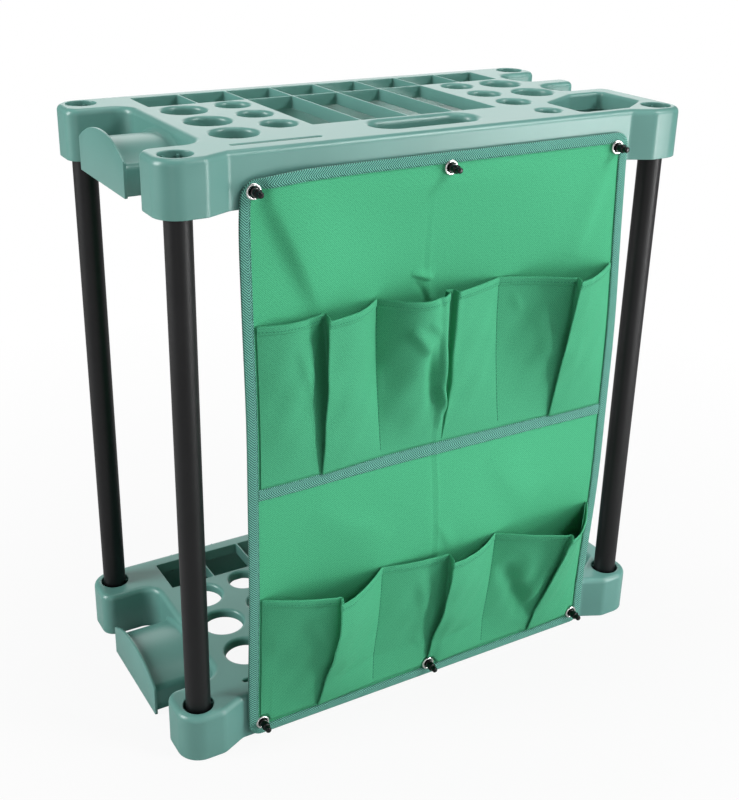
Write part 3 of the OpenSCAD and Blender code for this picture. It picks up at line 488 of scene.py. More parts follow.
def sheet_y(x, z):
    """Depth of the middle of the backing cloth. The wave is A*cos^2*sin(2*pi*t), t the height as a share,
    the side edges bow forward by B*sin(pi*t), and folds and a pressed centre crease are added. The
    folds die out at each eyelet by 1 - exp(-(r^2/150)^2), because the peg holds the cloth flat there."""
    wave, bow = 16, 9
    x, z = np.broadcast_arrays(np.asarray(x, float), np.asarray(z, float))
    t = np.clip((z - HEIGHT) / (RISE - HEIGHT), 0, 1)
    middle = np.cos(np.pi / 2 * np.clip(x / PANEL_X, -1, 1)) ** 2
    hang = wave * middle * np.sin(2 * np.pi * t) + bow * (1 - middle) * np.sin(np.pi * t)
    held = np.sin(np.pi * t) ** .6
    soft = 1.3 * np.sin(x * .021 + z * .011 + 1.2) * np.sin(z * .019 - x * .008)
    pressed = x + 8 + 7.5 * np.clip((z - 440) / 132, -.4, 1)
    crease = .6 * np.exp(-np.abs(pressed) / 2.0) - .5 * np.exp(-np.abs(pressed + 6) / 2.4)
    tight = 1.0
    for side in (-PEG_X, 0.0, PEG_X):
        for level in (PEG_Z, RISE + PEG_Z):
            tight = tight * (1 - np.exp(-(((x - side) ** 2 + (z - level) ** 2) / 150) ** 2))
    return SHEET_Y - hang - held * (soft + crease) - tight * folds(x, z, PANEL_FOLDS)


def cloth_skin(front, thick):
    """A sheet as a closed mesh: two copies of a grid (rows, cols, 3), half the thickness each side."""
    du, dv = np.gradient(front, axis=1), np.gradient(front, axis=0)
    normal = np.cross(du, dv)
    normal /= np.linalg.norm(normal, axis=-1, keepdims=True)
    rows, cols = front.shape[:2]
    a, b = front + normal * (thick / 2), front - normal * (thick / 2)
    count = rows * cols
    faces = grid_faces(rows, cols)
    there, back = np.arange(1, rows) * cols + cols - 1, np.arange(rows - 2, 0, -1) * cols
    edge = np.concatenate([np.arange(cols), there, (rows - 1) * cols + np.arange(cols - 2, -1, -1), back])
    after = np.roll(edge, -1)
    sides = np.stack([edge, after, after + count, edge + count], 1)
    return np.concatenate([a.reshape(-1, 3), b.reshape(-1, 3)]), faces, faces[:, ::-1] + count, sides


def spread(*runs):
    """Places along a line from runs of (from, to, count): each run has its own even spacing."""
    return np.concatenate([np.linspace(a, b, n, endpoint=False) for a, b, n in runs] + [[runs[-1][1]]])


INSET = 1.4  # the backing ends this far inside the outer edge of the tape
cloth_x, cloth_low, cloth_high = PANEL_X - INSET, PANEL_LOW + INSET, PANEL_HIGH - INSET
xs, zs = np.meshgrid(spread((-cloth_x, -40, 62), (-40, 10, 40), (10, cloth_x, 70)),
                     spread((cloth_low, 430, 148), (430, 475, 36), (475, cloth_high, 38)))
corner = PANEL_R - INSET
into = np.clip(np.minimum(zs - cloth_low, cloth_high - zs), 0, corner)
xs = xs * (cloth_x - corner + np.sqrt(corner ** 2 - (corner - into) ** 2)) / cloth_x
moved_x, moved_z = tugged(xs, zs)
depths = sheet_y(moved_x, moved_z)
backing = cloth_skin(np.stack([moved_x, depths, moved_z], -1), CLOTH)
backing_uv = np.tile(np.stack([xs, zs], -1).reshape(-1, 2), (2, 1)) * MM
print("backing grid:", xs.shape, "depth from", round(depths.min(), 1), "to", round(depths.max(), 1))

# %% [markdown]
# ## Pleated pockets
# A strip of pockets is one long piece of cloth. It starts flat at a seam, stands away from the backing,
# folds back behind itself as a pleat and runs on to the next seam. At the foot the pleat is deep and flat;
# at the hem it opens. Each row of the grid is that line at one height, and a smooth curve through its
# corners gives the folds their round edges.

# %% Pocket line
def smooth_line(points, counts):
    """Catmull-Rom through (rows, n, 2) points, with its own count of steps in each stretch:
    p(t) = ((2b) + (c-a)t + (2a-5b+4c-d)t^2 + (3b-a-3c+d)t^3) / 2."""
    first, last = 2 * points[:, :1] - points[:, 1:2], 2 * points[:, -1:] - points[:, -2:-1]
    p = np.concatenate([first, points, last], 1)
    found = []
    for k, count in enumerate(counts):
        a, b, c, d = (p[:, k + m, None] for m in range(4))
        t = (np.arange(count) / count)[None, :, None]
        found.append((2 * b + (c - a) * t + (2 * a - 5 * b + 4 * c - d) * t ** 2
                      + (3 * b - a - 3 * c + d) * t ** 3) / 2)
    return np.concatenate(found + [points[:, -1:]], 1)


def pocket(left, right, fold, share):
    """Corners (x, stand-off) of one pocket between two seams, for each share of its height. A fold gives
    how far the cloth reaches forward beside the pleat and how far it bellies on the way there, on the
    left and on the right, how straight the way up is, and how wide the pleat gapes. From a seam to the
    pleat the stand-off is (reach*f + belly*sin(pi*f))*wide, f the share of the way, and wide grows from
    0 at the foot to 1 at the hem."""
    reach_l, belly_l, reach_r, belly_r, straight, opened = fold
    s = share[:, None]
    wide = np.sin(np.pi / 2 * s) * (1 - straight) + s * straight
    middle = (left + right) / 2
    f, g = np.array([[0, .03, *np.arange(1, 7) / 7]]), np.array([[*np.arange(1, 7) / 7, .97]])
    out_l, out_r = reach_l * wide, reach_r * wide
    if opened:
        gape, floor = 1.2 + opened * np.clip(2.6 * s, 0, 1) ** .8, (reach_l - 9) * wide
        fx = [0, .5, 1.1, .3 * gape, .7 * gape, gape - 1.1, gape - .5, gape]
        fy = [out_l, .5 * (out_l + floor), floor + .6 * wide, floor, floor, floor + .6 * wide,
              .5 * (out_r + floor), out_r]
        start, front = middle + gape, out_r
    else:
        deep, gap, step = 16 - 12 * s, np.clip(s * 1.4 - .1, 0, 1) * 3.5, 1.3
        inside, start, front = out_l + step + gap, middle + deep * .35 + 3, out_r + 2 * step
        fx = [0, deep * .8, deep + .5, deep * .8, .5 * deep, -.6, -1.1, -.2]
        fy = [out_l, out_l, out_l + (step + gap) / 2, inside, (out_r + step) * .55 + inside * .45,
              out_r + step, front - .5, front]
    x = [left + (middle - left) * f + 0 * s, *(middle + place + 0 * s for place in fx),
         start + (right - start) * g]
    y = [(reach_l * f + belly_l * np.sin(np.pi * f)) * wide, *fy,
         front * (1 - g) + belly_r * np.sin(np.pi * g) * wide]
    return np.stack([np.concatenate(x, 1), np.concatenate(y, 1)], -1)


# how many steps each stretch between two corners of a pocket has
STEPS = [3] + [9] * 7 + [8, 4, 4, 6, 8, 4, 4, 6] + [11] * 5 + [12, 3]
print("stretches in a pocket:", len(STEPS))

# %% Pocket strips
STRIP_OUT = 1.3  # from the middle of the backing to the middle of a strip


def strip_grid(pleats, low, tall, lift, wrinkles):
    """The middle surface of a strip of three pockets, from its foot to its hem, its cloth coordinates and
    its thickness. The hem is turned over, so its last 8 mm are more than twice as thick, with a round
    edge. Within 9.5 mm of a peg the foot is raised by lift*(1 - (distance/9.5)^4)."""
    down = np.array([8.6, 8.1, 7.6, 6.8, 5.4, 4, 2.6, 1.4, .6, .15, 0])
    share = np.concatenate([np.linspace(0, 1 - 9.4 / tall, 46), 1 - down / tall])
    hem = [1.2, 1.7, 1.9, 1.9, 1.9, 1.9, 1.8, 1.4, .9, .5]
    rows = len(share)
    thick = np.concatenate([np.full(rows - len(hem), CLOTH), hem])[:, None, None]
    seams = [-INNER_X, -SEAM_X, SEAM_X, INNER_X]
    lines = [pocket(seams[k], seams[k + 1], pleats[k], share) for k in range(3)]
    line = np.concatenate(lines + [np.repeat([[[INNER_X, 0.0]]], rows, 0)], 1)
    line = smooth_line(line, STEPS * 3)
    x, off = line[..., 0], np.maximum(line[..., 1], 0)
    near = np.min([np.abs(x - p) for p in (-PEG_X, 0, PEG_X)], 0)
    foot = low + lift * np.clip(1 - (near / 9.5) ** 4, 0, 1)
    s = share[:, None]
    z = foot * (1 - s) + (low + tall) * s
    soft = np.sin(np.pi * s) * np.clip(off / 6, 0, 1)
    broad, fine = 1.1 * np.sin(x * .07 + z * .05) * np.sin(z * .06 - x * .02), .5 * np.sin(x * .19 - z * .11)
    off = off + soft * (broad + fine)
    off = off + np.clip(off / 5, 0, 1) * folds(x, z, wrinkles)
    depth = sheet_y(x, z) - STRIP_OUT - off - (thick[:, 0] - CLOTH) * .45
    leg = np.hypot(np.diff(x, axis=1), np.diff(off, axis=1))
    run = np.concatenate([np.zeros((rows, 1)), np.cumsum(leg, 1)], 1)
    return np.stack([x, depth, z], -1), np.stack([run, z + 0 * run], -1), thick


# the folds of three pockets from left to right, as pocket() takes them
UPPER = [(2, 8, 19, 8, 0, 0), (24, 22, 25, 2, 0, 9.5), (27, -4, 39, 2, .8, 0)]
LOWER = [(30, 3, 40, 3, 0, 0), (8, 2, 23, 5, .2, 0), (46, 2, 54, 6, 1, 0)]
LIFT = PEG_Z + EYELET_R + .8 - LOWER_Z  # the foot of the lower strip passes over the eyelets
UPPER_WRINKLES = [((-6, 440), (-4, 304), 9.5, 6, 6), ((-48, 424), (-22, 394), 5.5, 5, 7),
                  ((-28, 430), (-8, 412), 3.0, 4, 5), ((-10, 356), (4, 322), 5.5, 3, 6),
                  ((-22, 404), (-15, 334), -6.0, 6, 5), ((-164, 430), (-146, 370), 3.2, 7, 15),
                  ((112, 420), (128, 360), 2.8, 10, 8), ((84, 436), (96, 414), 1.2, 6, 4)]
LOWER_WRINKLES = [((-160, 154), (-136, 104), 3.2, 7, 16), ((-30, 150), (-14, 90), 2.6, 7, 9),
                  ((-14, 112), (-8, 48), -2.4, 6, 6), ((82, 130), (132, 36), -11.0, 11, 8),
                  ((134, 152), (120, 30), 2.6, 7, 5), ((104, 150), (112, 96), 2.4, 9, 9),
                  ((-24, 64), (-8, 40), 2.0, 4, 6)]
upper_grid, upper_uv, upper_thick = strip_grid(UPPER, UPPER_Z, UPPER_TALL, 0, UPPER_WRINKLES)
lower_grid, lower_uv, lower_thick = strip_grid(LOWER, LOWER_Z, LOWER_TALL, LIFT, LOWER_WRINKLES)
print("upper strip:", upper_grid.shape, "cut width", round(float(upper_uv[..., 0].max()), 1), "mm")
print("lower strip:", lower_grid.shape, "cut width", round(float(lower_uv[..., 0].max()), 1), "mm")

# %% [markdown]
# ## Stitches
# A seam reads as sewn only when each stitch is a little thing of its own. Each is a short capsule with few
# sides, sunk at both ends, and the stitches of all the pockets are one mesh. `stitches` takes points on the
# cloth and builds every capsule of a seam in one go.

# %% Stitches
def stitches(path, spacing, length, radius):
    """Capsules along a polyline (n, 3) on the front of the cloth: each is 4 rings of 6 points, thin at its
    ends and sunk there."""
    path = np.asarray(path, float)
    leg = np.linalg.norm(np.diff(path, axis=0), axis=1)
    run = np.concatenate([[0], np.cumsum(leg)])
    at = np.arange(spacing / 2, run[-1] - spacing / 2, spacing)

    def place(s):
        """The point at a distance along the path."""
        return np.stack([np.interp(s, run, path[:, k]) for k in range(3)], -1)

    middle, ahead = place(at), place(at + .5) - place(at - .5)
    ahead /= np.linalg.norm(ahead, axis=1, keepdims=True)
    side = np.cross(ahead, (0, -1, 0))
    side /= np.linalg.norm(side, axis=1, keepdims=True)
    up = np.cross(side, ahead)
    a = 2 * np.pi * np.arange(6) / 6
    along = np.array([-.5, -.28, .28, .5]) * length
    fat = np.array([.25, 1, 1, .25]) * radius
    drop = np.array([-.7, .25, .25, -.7]) * radius
    points = (middle[:, None, None] + along[None, :, None, None] * ahead[:, None, None]
              + (fat[:, None] * np.cos(a))[None, ..., None] * side[:, None, None]
              + (fat[:, None] * np.sin(a) + drop[:, None])[None, ..., None] * up[:, None, None])
    cap = np.array([[0, 1, 2, 3], [0, 3, 4, 5]])
    faces = np.concatenate([grid_faces(4, 6, False, True), cap[:, ::-1], cap + 3 * 6])
    every = (faces[None] + 4 * 6 * np.arange(len(at))[:, None, None]).reshape(-1, 4)
    return points.reshape(-1, 3), every


SEWN = []
for grid in (upper_grid, lower_grid):
    SEWN.append(stitches(grid[-7] + [0, -1.0, 0], 3.4, 2.4, .3))
    for k in (1, 2):
        seam = grid[2:, k * sum(STEPS) + 1] + [0, -.5, 0]
        SEWN.append(stitches(seam, 4.0, 2.9, .3))
print("seams on the pockets:", len(SEWN), "with", sum(len(p[0]) for p in SEWN) // 24, "stitches")

# %% [markdown]
# ## Binding and tape
# The raw edges are covered by a woven tape folded over them, with slanting ribs, and a second tape covers
# the foot of the upper pockets. The ribs stand out enough to catch the light, so they are in the shape: the
# section of the tape is carried round the edge in steps of about half a millimetre, and a slanting wave
# lifts it.

# %% Binding
def edge_line(step):
    """Points round the edge of the panel with their outward direction, evenly spaced."""
    corners = rounded([(-PANEL_X, PANEL_LOW, PANEL_R), (PANEL_X, PANEL_LOW, PANEL_R),
                       (PANEL_X, PANEL_HIGH, PANEL_R), (-PANEL_X, PANEL_HIGH, PANEL_R)], 3)
    closed = np.concatenate([corners, corners[:1]])
    run = np.concatenate([[0], np.cumsum(np.hypot(*np.diff(closed[:, :2], axis=0).T))])
    count = int(run[-1] / step)
    at = np.arange(count) * run[-1] / count
    got = np.stack([np.interp(at, run, closed[:, k]) for k in range(4)], 1)
    got[:, 2:] /= np.linalg.norm(got[:, 2:], axis=1, keepdims=True)
    return got, at


def ribs(run, across, pitch, slant):
    """Height of the woven ribs, 0 to 1: a wave along run + slant*across with narrow gaps."""
    phase = (run + slant * across) * 2 * np.pi / pitch
    return np.abs(np.cos(phase / 2)) ** .8


RIB_PITCH, RIB_SLANT = 2.5, -1.0
RIB_TURN = 6.3


def turned_back(d):
    """Distance across the folded tape, which grows up to a middle line and falls again after it."""
    return RIB_TURN - np.abs(d - RIB_TURN)


def binding():
    """The folded tape as a closed U section: a ribbed front leg between two plain edges, a back leg, and
    the thin gap between them that holds the cloth. Its points are d in from the edge of the panel and y
    behind the middle of the cloth."""
    stations, run = edge_line(.55)
    into = np.array([0, .6, 1.3, 1.6, 2.7, 3.9, 5.1, 6.3, 7.4, 8.2, 8.5, 9.2, 9.9])
    d = np.concatenate([into, [10, 9.9, 9.2, 6, 3, 1.6, 1.2, 1.6], [9.9, 10, 9.9], into[1:-1][::-1],
                        [-.35, -.5, -.35]])
    y = np.concatenate([np.full(len(into), -1.6), [-1.3, -.9], np.full(4, -.86), [0, .86], [.9, 1.3, 1.6],
                        np.full(len(into) - 2, 1.7), [1.1, 0, -1.1]])
    ribbed = (into > 1.5) & (into < 8.3)
    wave = ribs(run[:, None], turned_back(into[None]), RIB_PITCH, RIB_SLANT)
    lift = np.zeros((len(run), len(d)))
    lift[:, :len(into)] = .1 + ribbed * (.6 * wave - .25)
    x = stations[:, None, 0] - d * stations[:, None, 2]
    z = stations[:, None, 1] - d * stations[:, None, 3]
    x, z = tugged(x, z)
    points = np.stack([x, sheet_y(x, z) + y - lift, z], -1).reshape(-1, 3)
    uv = np.stack([run[:, None] + 0 * d, turned_back(d) + 0 * run[:, None]], -1)
    return points, grid_faces(len(run), len(d), True, True), uv.reshape(-1, 2) * MM


def middle_tape():
    """The tape across the middle: ribs that slant up on one half and down on the other."""
    run = np.linspace(-INNER_X - 2, INNER_X + 2, 680)
    across = np.array([-6, -5.4, -5.0, -4.6, -3.4, -2.2, -1.1, -.35, 0, .35, 1.1, 2.2, 3.4, 4.6, 5.0, 5.4, 6])
    wave = ribs(run[:, None], np.abs(across)[None], RIB_PITCH, RIB_SLANT) * (np.abs(across) < 5.1)
    x, dz = np.meshgrid(run, across, indexing="ij")
    z = TAPE_Z + dz
    level = sheet_y(x, z)
    front = np.stack([x, level - 1.4 - .5 * wave, z], -1)
    back = np.stack([x, level - .85, z], -1)[:, ::-1]
    points = np.concatenate([front, back], 1).reshape(-1, 3)
    uv = np.stack([x, np.abs(dz)], -1)
    uv = np.concatenate([uv, uv[:, ::-1]], 1)
    return points, *bar_faces(len(run), len(across)), uv.reshape(-1, 2) * MM


bound = binding()
taped = middle_tape()
stations, _ = edge_line(2.0)


def edge_row(d, off):
    """A line on the tape, d mm in from the edge and off mm in front of the cloth."""
    x, z = tugged(stations[:, 0] - d * stations[:, 2], stations[:, 1] - d * stations[:, 3])
    return np.column_stack([x, sheet_y(x, z) - off, z])


SEWN_EDGE = [stitches(edge_row(9.1, 1.8), 3.2, 2.2, .24)]
line_x = np.linspace(-INNER_X + 1, INNER_X - 1, 300)
for z in (TAPE_Z - 5.1, TAPE_Z + 5.1):
    tape_row = np.column_stack([line_x, sheet_y(line_x, z) - 1.6, np.full(len(line_x), z)])
    SEWN_EDGE.append(stitches(tape_row, 3.2, 2.2, .24))
print("binding:", len(bound[0]), "points; middle tape:", len(taped[0]), "points")

# %% [markdown]
# ## Tubes, pegs and eyelets
# These are turned shapes: one closed profile revolved about an axis. The tube ends are hidden in the
# sockets, but they still have their wall and a broken edge. The peg is a plain body with a narrower round
# tip and a split barb that snaps behind the skirt. The eyelet is a rolled ring with its barrel.

# %% Turned pieces
def tube_profile():
    """Outside and inside of a tube with broken ends, as (r, z)."""
    low, high, out, wall = WEB_HIGH, RISE + WEB_LOW, 12.5, 1.2
    return ([(out - .4, low), (out, low + .4), (out, low + 40)] + [(out, z) for z in np.linspace(90, 540, 10)]
            + [(out, high - .4), (out - .4, high), (out - wall + .1, high), (out - wall, high - .3),
               (out - wall, low + .3), (out - wall + .1, low)])


def peg_parts(x, base):
    """Body, tip and stem as one turned shape, and the barb as two half rounds beside the slit. A point
    of the barb at radius r swings by up to arccos(.7/r) each way, which leaves a slit of 1.4 mm."""
    body = ([(0, -2.7), (2.7, -2.7), (3.0, -2.5), (3.0, -.02), (3.3, 0), (4.1, 0), (4.25, .15), (4.25, 13.6)]
            + arc(3.25, 14, 1, 0, 90, 6) + arc(3.6, 15.6, .6, 270, 180, 4) + arc(1.2, 19.2, 1.8, 0, 90, 7)
            + [(0, 21)])
    points, _ = revolved(body, 40, (x, FACE_Y, base + PEG_Z), True)
    parts = [(points, grid_faces(40, len(body), True, False))]
    barb = np.array([(2.1, -7.5), (2.6, -7.3), (3.7, -4.4), (3.9, -3.0), (3.9, -2.62), (2.2, -2.62)])
    turns, i = 11, np.arange(len(barb))
    after, last = (i + 1) % len(barb), (turns - 1) * len(barb)
    cap = np.stack([i, after, after + last, i + last], 1)
    swing = np.linspace(-1, 1, turns)[:, None] * np.arccos(.7 / barb[:, 0])
    for way in (-1, 1):
        u = way * barb[:, 0] * np.cos(swing)
        v = barb[:, 0] * np.sin(swing)
        p = np.stack([u + x, 0 * u - barb[:, 1] + FACE_Y, v + base + PEG_Z], -1)
        parts.append((p.reshape(-1, 3), grid_faces(turns, len(barb), False, True), cap[:, ::-1]))
    return parts


def eyelet_profile():
    """A rolled ring with its barrel through the cloth, as (r, distance in front of the sheet)."""
    roll = 1.5
    crest = [(EYELET_R - roll - roll * math.cos(a), 1.9 + 1.45 * math.sin(a))
             for a in np.radians(np.linspace(0, 180, 13))]
    return [(4.5, -2.8)] + crest + [(7.35, 1.75), (5.2, 1.75), (5.0, 1.6), (5.0, -2.8)]


WASHER = [(5.15, -2.0), (7.2, -2.0), (7.5, -2.2), (7.5, -2.45), (7.1, -2.75), (6.2, -2.8), (5.4, -2.6),
          (5.15, -2.4)]
places = {f"{level}_{side}": (x, base) for level, base in (("top", RISE), ("bottom", 0.0))
          for side, x in (("left", -PEG_X), ("middle", 0.0), ("right", PEG_X))}
print("pegs and eyelets:", list(places))

# %% [markdown]
# ## Finishes
# All colour and relief is procedural. The trays are a satin moulding in a grey green, a little mottled, with
# a very fine grain. The tubes are painted satin black. The cloth is a tight twill with fine slubs, brighter
# where the light grazes the yarns; the pockets take a darker copy of it, which is painted shade. Tape and
# thread have their own weave, and the tape's colour carries painted shade in the gaps of its ribs and
# painted light on their tops. Constant values sit on the shader's own sockets, so an exported model keeps
# them.

# %% Node helpers
def material(name, colour, roughness, **more):
    """A material, its Principled shader, a helper that adds nodes and one that links two sockets."""
    made = bpy.data.materials.new(name)
    made.use_nodes = True
    tree = made.node_tree
    shader = tree.nodes["Principled BSDF"]
    shader.inputs["Base Color"].default_value = (*colour, 1)
    shader.inputs["Roughness"].default_value = roughness
    for socket, value in more.items():
        shader.inputs[socket.replace("_", " ")].default_value = value

    def node(kind, **values):
        """Adds a node. A value whose name starts with in_ goes to that input, as a value or a link."""
        item = tree.nodes.new(kind)
        for key, value in values.items():
            if key.startswith("in_"):
                socket = key[3:]
                socket = int(socket) if socket.isdigit() else socket.replace("_", " ")
                if isinstance(value, bpy.types.NodeSocket):
                    tree.links.new(value, item.inputs[socket])
                else:
                    item.inputs[socket].default_value = value
            else:
                setattr(item, key, value)
        return item

    return made, shader, node, tree.links.new


def ramp(node, value, stops):
    """A colour ramp over (position, linear colour) stops."""
    item = node("ShaderNodeValToRGB", in_Fac=value)
    band = item.color_ramp
    while len(band.elements) < len(stops):
        band.elements.new(0.5)
    for element, (position, colour) in zip(band.elements, stops):
        element.position, element.color = position, (*colour, 1)
    return item.outputs["Color"]


def linear(r, g, b):
    """An sRGB colour of 0 to 255 as the linear values that a shader takes."""
    c = np.array([r, g, b]) / 255
    return tuple(float(v) for v in np.where(c <= .04045, c / 12.92, ((c + .055) / 1.055) ** 2.4))


def noise(node, where, scale, detail):
    """Noise of 0 to 1 over a surface."""
    return node("ShaderNodeTexNoise", in_Vector=where, in_Scale=scale, in_Detail=detail).outputs["Fac"]


def between(node, value, low, high):
    """A value of 0 to 1 brought to a range of its own."""
    return node("ShaderNodeMapRange", in_Value=value, in_3=low, in_4=high).outputs["Result"]


print("tray colour, linear:", [round(v, 3) for v in linear(89, 137, 129)])

# %% Moulded plastic
def moulded_plastic():
    """Satin plastic: broad mottling, which also makes patches a little glossier, and a fine grain."""
    made, shader, node, link = material("moulded_plastic", linear(89, 137, 129), .34)
    where = node("ShaderNodeTexCoord").outputs["Object"]
    broad, fine = noise(node, where, 9.0, 3.0), noise(node, where, 900.0, 2.0)
    shade = ramp(node, broad, [(.3, linear(86, 133, 125)), (.7, linear(93, 142, 134))])
    link(shade, shader.inputs["Base Color"])
    link(between(node, broad, .28, .38), shader.inputs["Roughness"])
    grain = node("ShaderNodeBump", in_Strength=.12, in_Distance=.00008, in_Height=fine)
    link(grain.outputs["Normal"], shader.inputs["Normal"])
    return made


# %% Painted steel, metal and gloss plastic
def painted_steel():
    """Black paint with a faint orange peel and light dust."""
    made, shader, node, link = material("painted_steel", linear(8, 8, 10), .34)
    where = node("ShaderNodeTexCoord").outputs["Object"]
    peel, dust = noise(node, where, 420.0, 2.0), noise(node, where, 22.0, 5.0)
    link(ramp(node, dust, [(.35, linear(6, 6, 8)), (.75, linear(12, 12, 14))]), shader.inputs["Base Color"])
    shader.inputs["Specular IOR Level"].default_value = .36
    link(between(node, dust, .38, .46), shader.inputs["Roughness"])
    link(node("ShaderNodeBump", in_Strength=.15, in_Distance=.0001, in_Height=peel).outputs["Normal"],
         shader.inputs["Normal"])
    return made


def bright_metal():
    """Nickel plated brass: bright, with small dull spots."""
    made, shader, node, link = material("bright_metal", linear(232, 232, 230), .2, Metallic=1.0)
    where = node("ShaderNodeTexCoord").outputs["Object"]
    spots = noise(node, where, 300.0, 4.0)
    shade = ramp(node, spots, [(.3, linear(214, 214, 212)), (.7, linear(240, 240, 238))])
    link(shade, shader.inputs["Base Color"])
    link(between(node, spots, .14, .34), shader.inputs["Roughness"])
    return made


def gloss_plastic():
    """Black plastic of the pegs, polished by the mould, with small scuffs."""
    made, shader, node, link = material("gloss_plastic", linear(6, 6, 7), .1)
    where = node("ShaderNodeTexCoord").outputs["Object"]
    scuff = noise(node, where, 260.0, 5.0)
    shader.inputs["Specular IOR Level"].default_value = .3
    link(ramp(node, scuff, [(.4, linear(4, 4, 5)), (.8, linear(9, 9, 10))]), shader.inputs["Base Color"])
    link(between(node, scuff, .08, .22), shader.inputs["Roughness"])
    return made


# %% Cloth, tape and thread
def twill(name, dark, light, pitch, slant):
    """Twill from the cloth's own coordinates: slanting ridges crossed by the yarns, with fine slubs."""
    made, shader, node, link = material(name, light, .86, Sheen_Weight=.1, Sheen_Roughness=.5)
    shader.inputs["Sheen Tint"].default_value = (*light, 1)
    shader.inputs["Specular IOR Level"].default_value = .25
    uv = node("ShaderNodeUVMap", uv_map="cloth").outputs["UV"]
    turned = node("ShaderNodeMapping", in_Vector=uv, in_Rotation=(0, 0, slant)).outputs["Vector"]
    ridge = node("ShaderNodeTexWave", in_Vector=turned, in_Scale=.314 / pitch, in_Distortion=.6,
                 in_Detail=1.0)
    yarn = node("ShaderNodeTexWave", in_Vector=uv, in_Scale=.314 / pitch * 1.4, in_Distortion=.3,
                bands_direction="Y")
    both = node("ShaderNodeMath", operation="ADD", in_0=ridge.outputs["Fac"], in_1=yarn.outputs["Fac"])
    slub = noise(node, uv, 900.0, 2.0)
    mixed = node("ShaderNodeMath", operation="MULTIPLY_ADD", in_0=both.outputs[0], in_1=.3, in_2=slub)
    link(ramp(node, mixed.outputs[0], [(.35, dark), (1.15, light)]), shader.inputs["Base Color"])
    relief = node("ShaderNodeBump", in_Strength=.35, in_Distance=.0002, in_Height=both.outputs[0])
    link(relief.outputs["Normal"], shader.inputs["Normal"])
    return made


def ribbed_tape():
    """The tape's ribs are in its shape, and the colour follows them with painted shade and light: dark in the
    gaps, where shade falls, and pale on the tops, where light falls, with a fine weave over both. The wave
    texture has its dark middle at run + slant*across = 0."""
    made, shader, node, link = material("ribbed_tape", linear(92, 156, 144), .8, Sheen_Weight=.2)
    shader.inputs["Specular IOR Level"].default_value = .3
    uv = node("ShaderNodeUVMap", uv_map="cloth").outputs["UV"]
    lean = math.atan(RIB_SLANT)
    turned = node("ShaderNodeMapping", in_Vector=uv, in_Rotation=(0, 0, -lean)).outputs["Vector"]
    pitch = RIB_PITCH * MM * math.cos(lean)
    rib_shading = node("ShaderNodeTexWave", in_Vector=turned, in_Scale=.3141593 / pitch)
    weave = noise(node, uv, 1500.0, 1.0)
    mixed = node("ShaderNodeMath", operation="MULTIPLY_ADD", in_0=weave, in_1=.5, in_2=rib_shading.outputs["Fac"])
    # painted shade in the gaps between the ribs and painted light on their tops
    link(ramp(node, mixed.outputs[0], [(.35, linear(112, 186, 166)), (1.15, linear(10, 70, 66))]),
         shader.inputs["Base Color"])
    return made


def finish_set():
    """One material for each kind of surface; the pockets take a darker copy of the cloth's twill, which is
    painted shade. The pitch of a twill is in metres, its slant in radians.
    """
    return {
        "tray": moulded_plastic(), "tube": painted_steel(), "eyelet": bright_metal(), "peg": gloss_plastic(),
        "cloth": twill("green_twill", linear(35, 123, 84), linear(77, 177, 130), .0015, -.8),
        # painted shade: the pockets are the backing's cloth, made darker to stand for the shade on them
        "pocket": twill("pocket_twill_painted_shade", linear(34, 115, 81), linear(75, 168, 125), .0015, -.8),
        "tape": ribbed_tape(),
        "thread": twill("sewing_thread", linear(18, 84, 62), linear(46, 124, 96), .0006, 0.0)}


FINISH = finish_set()
print("finishes:", ", ".join(FINISH))

# %% [markdown]
# ## The pieces
# Each array becomes an object, gets its finish, rides on the frame and takes the place of its solid.

# %% Pieces
def piece(obj, nodes, slot, finish=None):
    """Gives a piece its finish, sets it on the frame and lets it stand for its CAD nodes."""
    obj.data.materials.append(FINISH[finish or slot])
    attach(obj, "root")
    if nodes:
        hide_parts(*nodes)


def lifted(parts, dz):
    """The same parts, higher by dz."""
    return [(np.asarray(p[0], float).reshape(-1, 3) + [0, 0, dz], *p[1:]) for p in parts]


for level, base in (("bottom", 0.0), ("top", RISE)):
    piece(shape(f"{level}_tray_moulding", lifted(BODY, base), weld=.004), [f"{level}_tray"], "tray")
    piece(shape(f"{level}_tray_ribs", lifted(EXTRAS, base), weld=.0005), [], "tray")
for (x, y), side in zip(SOCKETS, ("front_left", "back_left", "front_right", "back_right")):
    tube = shape(f"tube_{side}_painted", [revolved(tube_profile(), 96, (x, y, 0))])
    piece(tube, [f"tube_{side}"], "tube")
for spot, (x, base) in places.items():
    middle = (x, SHEET_Y, base + PEG_Z)
    piece(shape(f"peg_{spot}_turned", peg_parts(x, base), weld=.001), [f"peg_{spot}"], "peg")
    eyelet = shape(f"eyelet_{spot}_rolled", [revolved(eyelet_profile(), 64, middle, True)])
    piece(eyelet, [f"eyelet_{spot}"], "eyelet")
    washer = shape(f"washer_{spot}_dished", [revolved(WASHER, 64, middle, True)])
    piece(washer, [f"washer_{spot}"], "eyelet")

# %% Cloth pieces
panel = shape("panel_backing", [backing], uvs=[backing_uv], angle=180)
piece(panel, ["fabric_back"], "cloth")
strips = {}
for level, grid, uv, thick in (("upper", upper_grid, upper_uv, upper_thick),
                               ("lower", lower_grid, lower_uv, lower_thick)):
    flat_uv = np.tile(uv.reshape(-1, 2), (2, 1)) * MM
    strips[level] = shape(f"{level}_pockets", [cloth_skin(grid, thick)], uvs=[flat_uv], angle=180)
    # the pockets take the darker twill, which is painted shade
    piece(strips[level], [f"pocket_strip_{level}"], "cloth", "pocket")
edge = shape("edge_tape", [bound[:2]], uvs=[bound[2]], angle=60)
piece(edge, ["edge_binding"], "tape")
middle_band = shape("middle_band", [taped[:4]], uvs=[taped[4]], angle=60)
piece(middle_band, ["middle_tape"], "tape")


